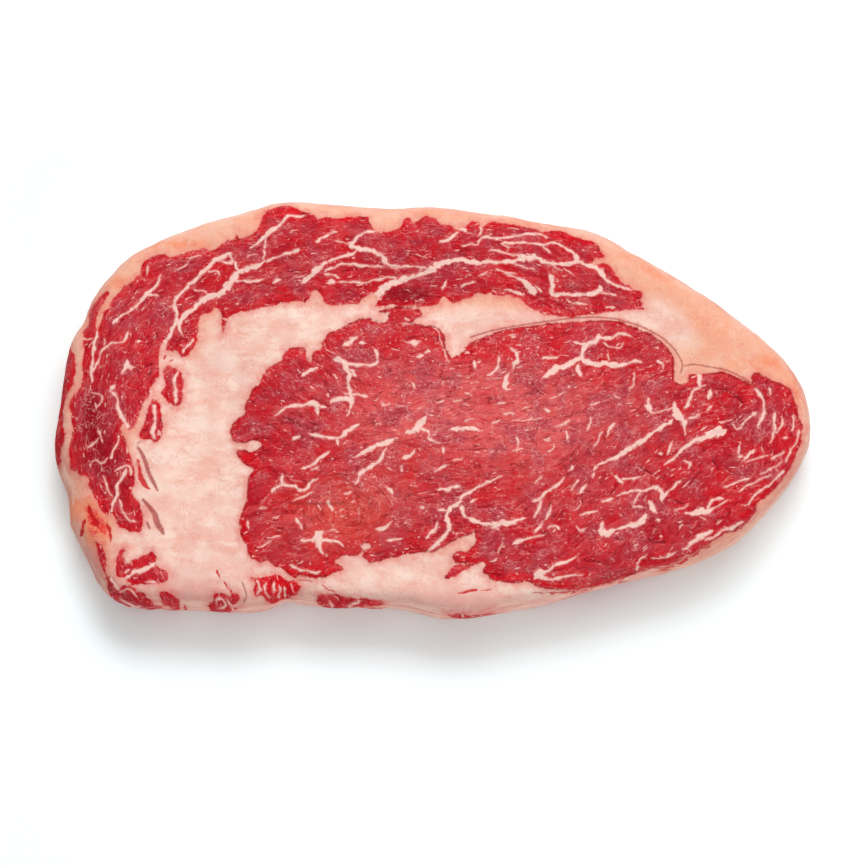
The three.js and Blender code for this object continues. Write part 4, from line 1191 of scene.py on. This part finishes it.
class Shader:
    """A material under construction. Each call adds a node and returns its output."""

    def __init__(self, name):
        self.material = bpy.data.materials.new(name)
        self.material.use_nodes = True
        self.tree = self.material.node_tree
        self.tree.nodes.clear()

    def node(self, kind, inputs, output=0, **settings):
        made = self.tree.nodes.new(kind)
        for key, value in settings.items():
            setattr(made, key, value)
        for key, value in inputs.items():
            if isinstance(value, bpy.types.NodeSocket):
                self.tree.links.new(value, made.inputs[key])
            else:
                made.inputs[key].default_value = value
        return made.outputs[output]

    def maths(self, operation, *values):
        return self.node("ShaderNodeMath", dict(enumerate(values)), operation=operation)

    def times(self, first, second):
        return self.maths("MULTIPLY", first, second)

    def plus(self, first, second):
        return self.maths("ADD", first, second)

    def ramp(self, value, start, end, low=0.0, high=1.0):
        inputs = {"Value": value, "From Min": start, "From Max": end, "To Min": low, "To Max": high}
        return self.node("ShaderNodeMapRange", inputs, interpolation_type="SMOOTHSTEP")

    def blend(self, amount, first, second):
        """Two colours mixed. Each is a named colour or the output of a node."""
        first, second = [tint(c) if isinstance(c, str) else c for c in (first, second)]
        return self.node("ShaderNodeMix", {0: amount, 6: first, 7: second}, output=2, data_type="RGBA")

    def stretch(self, vector, *scale):
        return self.node("ShaderNodeVectorMath", {0: vector, 1: scale}, operation="MULTIPLY")

    def shift(self, vector, by):
        return self.node("ShaderNodeVectorMath", {0: vector, 1: by}, operation="ADD")

    def noise(self, vector, scale=1.0, detail=2.0, roughness=0.5, output=0):
        inputs = {"Vector": vector, "Scale": scale, "Detail": detail, "Roughness": roughness}
        return self.node("ShaderNodeTexNoise", inputs, output=output)

    def cells(self, vector):
        inputs = {"Vector": vector, "Scale": 1.0, "Randomness": 1.0}
        return self.node("ShaderNodeTexVoronoi", inputs, output="Color")

    def stored(self, name, output="Fac"):
        return self.node("ShaderNodeAttribute", {}, output=output, attribute_name=name)

    def parts(self, vector):
        split = self.tree.nodes.new("ShaderNodeSeparateXYZ")
        self.tree.links.new(vector, split.inputs[0])
        return split.outputs

    def line(self, pattern, level, thickness, strength):
        """A thin line wherever a smooth pattern crosses a level."""
        off = self.maths("ABSOLUTE", self.maths("SUBTRACT", pattern, level))
        return self.ramp(off, thickness, 0, 0, strength)

    def surface(self, inputs):
        """Ends the material with one surface, and returns the material."""
        surface = self.node("ShaderNodeBsdfPrincipled", inputs)
        output = self.tree.nodes.new("ShaderNodeOutputMaterial")
        self.tree.links.new(surface, output.inputs["Surface"])
        return self.material


class Ground:
    """What several layers of the beef share: where a point is, how the edges waver, and the stored tones."""

    def __init__(self, shader):
        self.place = shader.stretch(shader.node("ShaderNodeTexCoord", {}, output="Object"), *[1 / MM] * 3)
        self.ragged = shader.maths("SUBTRACT", shader.noise(self.place, 1.5, 3, 0.6), 0.5)
        self.wavy = shader.maths("SUBTRACT", shader.noise(self.place, 0.42, 2), 0.5)
        self.fine = shader.noise(self.place, 2.2, 2)
        middle = {0: shader.noise(self.place, 0.16, 2, output=1), 1: (0.5, 0.5, 0.5)}
        bend = shader.node("ShaderNodeVectorMath", middle, operation="SUBTRACT")
        self.bend = shader.stretch(bend, 5, 4, 0)
        self.lean = shader.stored("lean")
        self.pink, self.bright, self.dark = shader.parts(shader.stored("tones", "Vector"))
        self.stain, self.rim, self.wall = shader.parts(shader.stored("fat_tones", "Vector"))


class Fibres:
    """The fibre patterns: bundles, distance from a bundle's middle, streaks, seams, partings and dashes."""

    def __init__(self, shader, bend):
        share = shader.stored("grain_share")
        first = self.patterns(shader, "grain_first", bend)
        second = self.patterns(shader, "grain_second", bend)
        self.bundle, self.round_off, self.streak, self.seam, self.parting, self.dash = [
            shader.node("ShaderNodeMix", {0: share, 2: a, 3: b}, data_type="FLOAT")
            for a, b in zip(first, second)
        ]

    def patterns(self, shader, name, bend):
        grain = shader.shift(shader.stored(name, "Vector"), bend)
        cell = shader.cells(shader.stretch(grain, 1 / 4.2, 1 / 2.1, 1))
        streak = shader.noise(shader.stretch(grain, 1 / 2.6, 1 / 0.7, 1), detail=3, roughness=0.65)
        seam = shader.noise(shader.stretch(grain, 1 / 6, 1 / 2.2, 1), detail=3, roughness=0.6)
        parting = shader.noise(shader.stretch(grain, 1 / 9, 1 / 2.6, 1))
        dash = shader.noise(shader.stretch(grain, 1 / 2.8, 1 / 0.95, 1), detail=1)
        return shader.parts(cell)[0], cell.node.outputs["Distance"], streak, seam, parting, dash


def stroke_depth(shader, name, count, uneven, sway):
    """Depth inside the strokes called name. Their width varies with uneven, and they swing aside by sway."""
    depth = None
    for number in range(count):
        side, half, _ = shader.parts(shader.stored(f"{name}_{number}", "Vector"))
        off = shader.maths("ABSOLUTE", shader.plus(side, sway))
        inside = shader.maths("SUBTRACT", shader.times(half, uneven), off)
        depth = inside if depth is None else shader.maths("MAXIMUM", depth, inside)
    return depth


class Strokes:
    """Masks of the strokes: 1 inside them and 0 outside."""

    def __init__(self, shader, ground, counts):
        uneven = shader.ramp(shader.noise(ground.place, 0.5, 2, 0.55), 0.3, 0.7, 0.4, 1.25)
        sway = shader.plus(shader.times(ground.ragged, 0.3), shader.times(ground.wavy, 1.4))
        small_sway = shader.times(ground.ragged, 0.6)
        vein = stroke_depth(shader, "vein", counts["vein"], uneven, sway)
        self.vein_edge = shader.ramp(vein, -0.5, 0.12, 0, 0.62)
        self.vein_core = shader.ramp(vein, -0.16, 0.3)
        sliver = stroke_depth(shader, "sliver", counts["sliver"], uneven, sway)
        self.sliver = shader.ramp(sliver, -0.2, 0.2)
        fascia = stroke_depth(shader, "fascia", counts["fascia"], 0.95, small_sway)
        self.fascia = shader.ramp(fascia, -0.3, 0.3)
        # Painted shade: the creases' mask darkens the colour where shade would lie in them.
        crease = stroke_depth(shader, "crease", counts["crease"], uneven, sway)
        self.crease = shader.ramp(crease, -0.16, 0.16)


def lean_tone(shader, ground):
    """The lean's broad tones: pink in its middle, mauve and crimson in patches, bright along its edge."""
    lean = shader.blend(ground.pink, "lean", "pink lean")
    patch = shader.noise(ground.place, 0.13, 3, 0.6)
    lean = shader.blend(shader.ramp(patch, 0.48, 0.64, 0, 0.7), lean, "mauve lean")
    crimson = shader.times(shader.ramp(patch, 0.5, 0.36, 0, 0.75), shader.ramp(ground.pink, 0, 1, 1, 0.4))
    lean = shader.blend(crimson, lean, "crimson lean")
    lean = shader.blend(shader.times(shader.stored("orange"), 0.55), lean, "warm lean")
    lean = shader.blend(shader.ramp(ground.bright, 0.1, 1, 0, 0.9), lean, "bright lean")
    lean = shader.blend(shader.ramp(ground.dark, 0.1, 1.4, 0, 0.92), lean, "dark lean")
    near_edge = shader.plus(ground.lean, shader.times(ground.wavy, 4))
    return shader.blend(shader.ramp(near_edge, 2.6, 0.2, 0, 0.65), lean, "lean edge")


def fibred(shader, ground, fibres, lean):
    """The lean with its fibres: streaks and bundles, pale where the tone is calm, with seams and partings."""
    calm = shader.ramp(shader.maths("MAXIMUM", ground.dark, ground.bright), 0.15, 1.0, 1, 0.2)
    calm = shader.times(calm, shader.ramp(ground.pink, 0, 1, 0.6, 1))
    lean = shader.blend(shader.ramp(fibres.streak, 0.48, 0.3, 0, 0.6), lean, "dark streak")
    pale_streak = shader.times(shader.ramp(fibres.streak, 0.52, 0.74, 0, 0.5), calm)
    lean = shader.blend(pale_streak, lean, "pale streak")
    pale_bundle = shader.times(shader.ramp(fibres.bundle, 0.55, 1, 0, 0.28), calm)
    lean = shader.blend(pale_bundle, lean, "pale bundle")
    lean = shader.blend(shader.ramp(fibres.bundle, 0.4, 0, 0, 0.32), lean, "dark bundle")
    seamed = shader.ramp(shader.noise(ground.place, 0.22, 2), 0.42, 0.62)
    seam_line = shader.line(fibres.seam, 0.5, 0.024, 0.5)
    lean = shader.blend(shader.times(seam_line, seamed), lean, "seam")
    parting_line = shader.line(fibres.parting, 0.5, 0.02, 0.7)
    return shader.blend(shader.times(parting_line, shader.ramp(seamed, 0.5, 0.1)), lean, "parting")


def marbled(shader, ground, fibres, strokes, lean):
    """The lean with its marbling: fine filaments, specks and the drawn veins, and with painted shade in its
    creases.
    """
    filament = shader.line(shader.noise(ground.place, 0.3, 2), 0.52, 0.02, 0.45)
    sparse = shader.ramp(shader.noise(ground.place, 0.13, 2), 0.5, 0.62)
    lean = shader.blend(shader.times(filament, sparse), lean, "filament")
    fleck = shader.ramp(shader.noise(ground.place, 0.8, 2, 0.6), 0.66, 0.73, 0, 0.62)
    speck = shader.maths("MAXIMUM", fleck, shader.ramp(fibres.dash, 0.675, 0.75, 0, 0.8))
    lean = shader.blend(speck, lean, "speck")
    # Painted shade: the creases darkened in the colour.
    lean = shader.blend(shader.times(strokes.crease, 0.75), lean, "crease")
    lean = shader.blend(strokes.vein_edge, lean, "vein edge")
    faint = shader.ramp(ground.fine, 0.25, 0.6, 0.8, 1)
    return shader.blend(shader.times(strokes.vein_core, faint), lean, "vein")


def fat_tone(shader, ground):
    """The fat's broad tones: mottled within, peach in the rim, blushing in places, and darker down the side
    as painted shade.
    """
    mottle = shader.ramp(shader.noise(ground.place, 0.12, 4, 0.62), 0.36, 0.64)
    fat = shader.blend(mottle, "fat", "rosy fat")
    bent = shader.stretch(shader.shift(ground.place, ground.bend), 0.07, 0.3, 0.2)
    flowing = shader.noise(bent, detail=4, roughness=0.62)
    fat = shader.blend(shader.ramp(flowing, 0.5, 0.68, 0, 0.55), fat, "dark flow")
    fat = shader.blend(shader.ramp(flowing, 0.46, 0.32, 0, 0.6), fat, "pale flow")
    peach = shader.blend(shader.ramp(shader.noise(ground.place, 0.1, 3), 0.35, 0.65), "peach", "pale peach")
    fat = shader.blend(shader.times(ground.rim, 0.85), fat, peach)
    fat = shader.blend(shader.times(shader.stored("blush"), 0.8), fat, "blush")
    # Painted shade down the side: the fat darkened as if turned from the light, varied by a random smear.
    smear = shader.noise(shader.stretch(ground.place, 0.07, 0.07, 0.45), detail=4, roughness=0.6)
    side = shader.blend(shader.ramp(smear, 0.4, 0.62), "darker side shade", "paler side shade")
    return shader.blend(shader.times(ground.wall, 0.7), fat, side)


def marked_fat(shader, ground, strokes, fat):
    """The fat with its stains, wrinkles and slivers of lean, and reddened next to the lean."""
    spread = shader.ramp(shader.noise(ground.place, 0.3, 3, 0.65), 0.3, 0.6, 0.25, 1)
    stained = shader.times(ground.stain, spread)
    fat = shader.blend(shader.ramp(stained, 0, 1, 0, 0.85), fat, "orange stain")
    fat = shader.blend(shader.ramp(stained, 1, 1.8, 0, 0.9), fat, "red stain")
    wrinkle = shader.line(shader.noise(ground.place, 0.14, 4, 0.6), 0.5, 0.014, 0.4)
    fat = shader.blend(wrinkle, fat, "wrinkle")
    near_lean = shader.plus(ground.lean, shader.times(ground.wavy, 5))
    fat = shader.blend(shader.ramp(near_lean, -2.6, 0.6, 0, 0.6), fat, "fat by lean")
    fat = shader.blend(shader.ramp(ground.fine, 0.4, 0.8, 0, 0.25), fat, "fat grain")
    return shader.blend(shader.times(strokes.sliver, 0.92), fat, "sliver")


def sheeted(shader, ground, strokes, colour):
    """Both meats with the sheets of connective tissue over them."""
    faded = shader.ramp(ground.ragged, -0.3, 0.15, 0.7, 0.92)
    sheet = shader.blend(shader.ramp(ground.ragged, -0.1, 0.15), "dark sheet", "pale sheet")
    return shader.blend(shader.times(strokes.fascia, faded), colour, sheet)


def fine_bumps(shader, ground, fibres, is_lean):
    """The finest relief: rounded fibre bundles in the lean, and a soft grain everywhere."""
    cobble = shader.plus(fibres.streak, shader.ramp(fibres.round_off, 0.9, 0.1, -1.0, -0.3))
    height = shader.plus(shader.times(cobble, is_lean), shader.times(ground.fine, 0.35))
    return shader.node("ShaderNodeBump", {"Strength": 0.6, "Distance": 0.5 * MM, "Height": height})


def moisture(shader, ground, is_lean):
    """How rough the surface is, and where juice stands on it."""
    rough = shader.ramp(shader.noise(ground.place, 0.35, 3), 0.35, 0.7, 0.24, 0.46)
    rough = shader.maths("MULTIPLY_ADD", ground.wall, 0.45, rough)
    drop = shader.ramp(shader.noise(ground.place, 0.9, 2, 0.6), 0.54, 0.68)
    juice = shader.times(drop, shader.ramp(is_lean, 0, 1, 0.2, 0.55))
    return rough, shader.times(juice, shader.ramp(ground.wall, 0.6, 0))


def beef(counts):
    """Lean with its fibres and marbling, and fat with its stains, from what is stored at the vertices."""
    shader = Shader("raw_beef")
    ground = Ground(shader)
    fibres = Fibres(shader, ground.bend)
    strokes = Strokes(shader, ground, counts)
    border = shader.plus(shader.times(ground.ragged, 0.8), shader.times(ground.wavy, 1.5))
    is_lean = shader.ramp(shader.plus(ground.lean, border), -0.3, 0.26)
    lean = fibred(shader, ground, fibres, lean_tone(shader, ground))
    lean = marbled(shader, ground, fibres, strokes, lean)
    fat = marked_fat(shader, ground, strokes, fat_tone(shader, ground))
    colour = sheeted(shader, ground, strokes, shader.blend(is_lean, fat, lean))
    normal = fine_bumps(shader, ground, fibres, is_lean)
    rough, juice = moisture(shader, ground, is_lean)
    return shader.surface(
        {"Base Color": colour, "Roughness": rough, "Normal": normal, "Specular IOR Level": BEEF_SHINE,
         "Coat Weight": juice, "Coat Roughness": JUICE_ROUGHNESS, "Coat Normal": normal}
    )


# ---------------------------------------------------------------------------------------------------
# The table, the light and the camera
# ---------------------------------------------------------------------------------------------------

WHITE = (1, 1, 1, 1)
TABLE_SIZE = 6
TABLE_ROUGHNESS = 0.9
TABLE_SHINE = 0.1
TABLE_GLOW = 0.13
SKY = 0.205

# Soft square lights aimed at the steak: name, place, size in metres and watts.
LIGHTS = [
    ("key light", (0.0, 1.9, 2.6), 1.2, 47),
    ("side light", (0.9, 1.5, 2.6), 1.2, 23),
    ("top light", (0.0, 0.3, 3.0), 2.0, 22),
    ("low light", (1.4, -2.3, 0.8), 1.4, 22),
]

CAMERA_RISE = math.radians(82)
CAMERA_REACH = 1.3
SENSOR = 36.0
WIDTH_IN_VIEW = 0.24075
LOOK_HEIGHT = 0.013
SHIFT_UP = -0.0269


def add_floor():
    bpy.ops.mesh.primitive_plane_add(size=TABLE_SIZE, location=(0, 0, 0))
    floor = bpy.context.active_object
    floor.name = "floor"
    look = {"Base Color": tint("table"), "Roughness": TABLE_ROUGHNESS, "Specular IOR Level": TABLE_SHINE,
            "Emission Color": WHITE, "Emission Strength": TABLE_GLOW}
    floor.data.materials.append(Shader("pale_floor").surface(look))


def add_light(name, place, size, watts):
    data = bpy.data.lights.new(name, "AREA")
    data.size = size
    data.energy = watts
    light = bpy.data.objects.new(name, data)
    light.location = place
    light.rotation_euler = (-Vector(place)).to_track_quat("-Z", "Y").to_euler()
    bpy.context.scene.collection.objects.link(light)


def set_stage():
    scene = bpy.context.scene
    add_floor()
    world = bpy.data.worlds.new("studio")
    world.use_nodes = True
    background = world.node_tree.nodes["Background"]
    background.inputs["Color"].default_value = WHITE
    background.inputs["Strength"].default_value = SKY
    scene.world = world
    for light in LIGHTS:
        add_light(*light)
    scene.view_settings.view_transform = "Standard"


def set_camera():
    scene = bpy.context.scene
    data = bpy.data.cameras.new("camera")
    data.sensor_width = SENSOR
    data.lens = SENSOR * CAMERA_REACH / WIDTH_IN_VIEW
    data.shift_y = SHIFT_UP
    camera = bpy.data.objects.new("camera", data)
    back = Vector((0, -math.cos(CAMERA_RISE), math.sin(CAMERA_RISE)))
    camera.location = Vector((0, 0, LOOK_HEIGHT)) + back * CAMERA_REACH
    camera.rotation_euler = (-back).to_track_quat("-Z", "Y").to_euler()
    scene.collection.objects.link(camera)
    scene.camera = camera


build_steak()
set_stage()
set_camera()
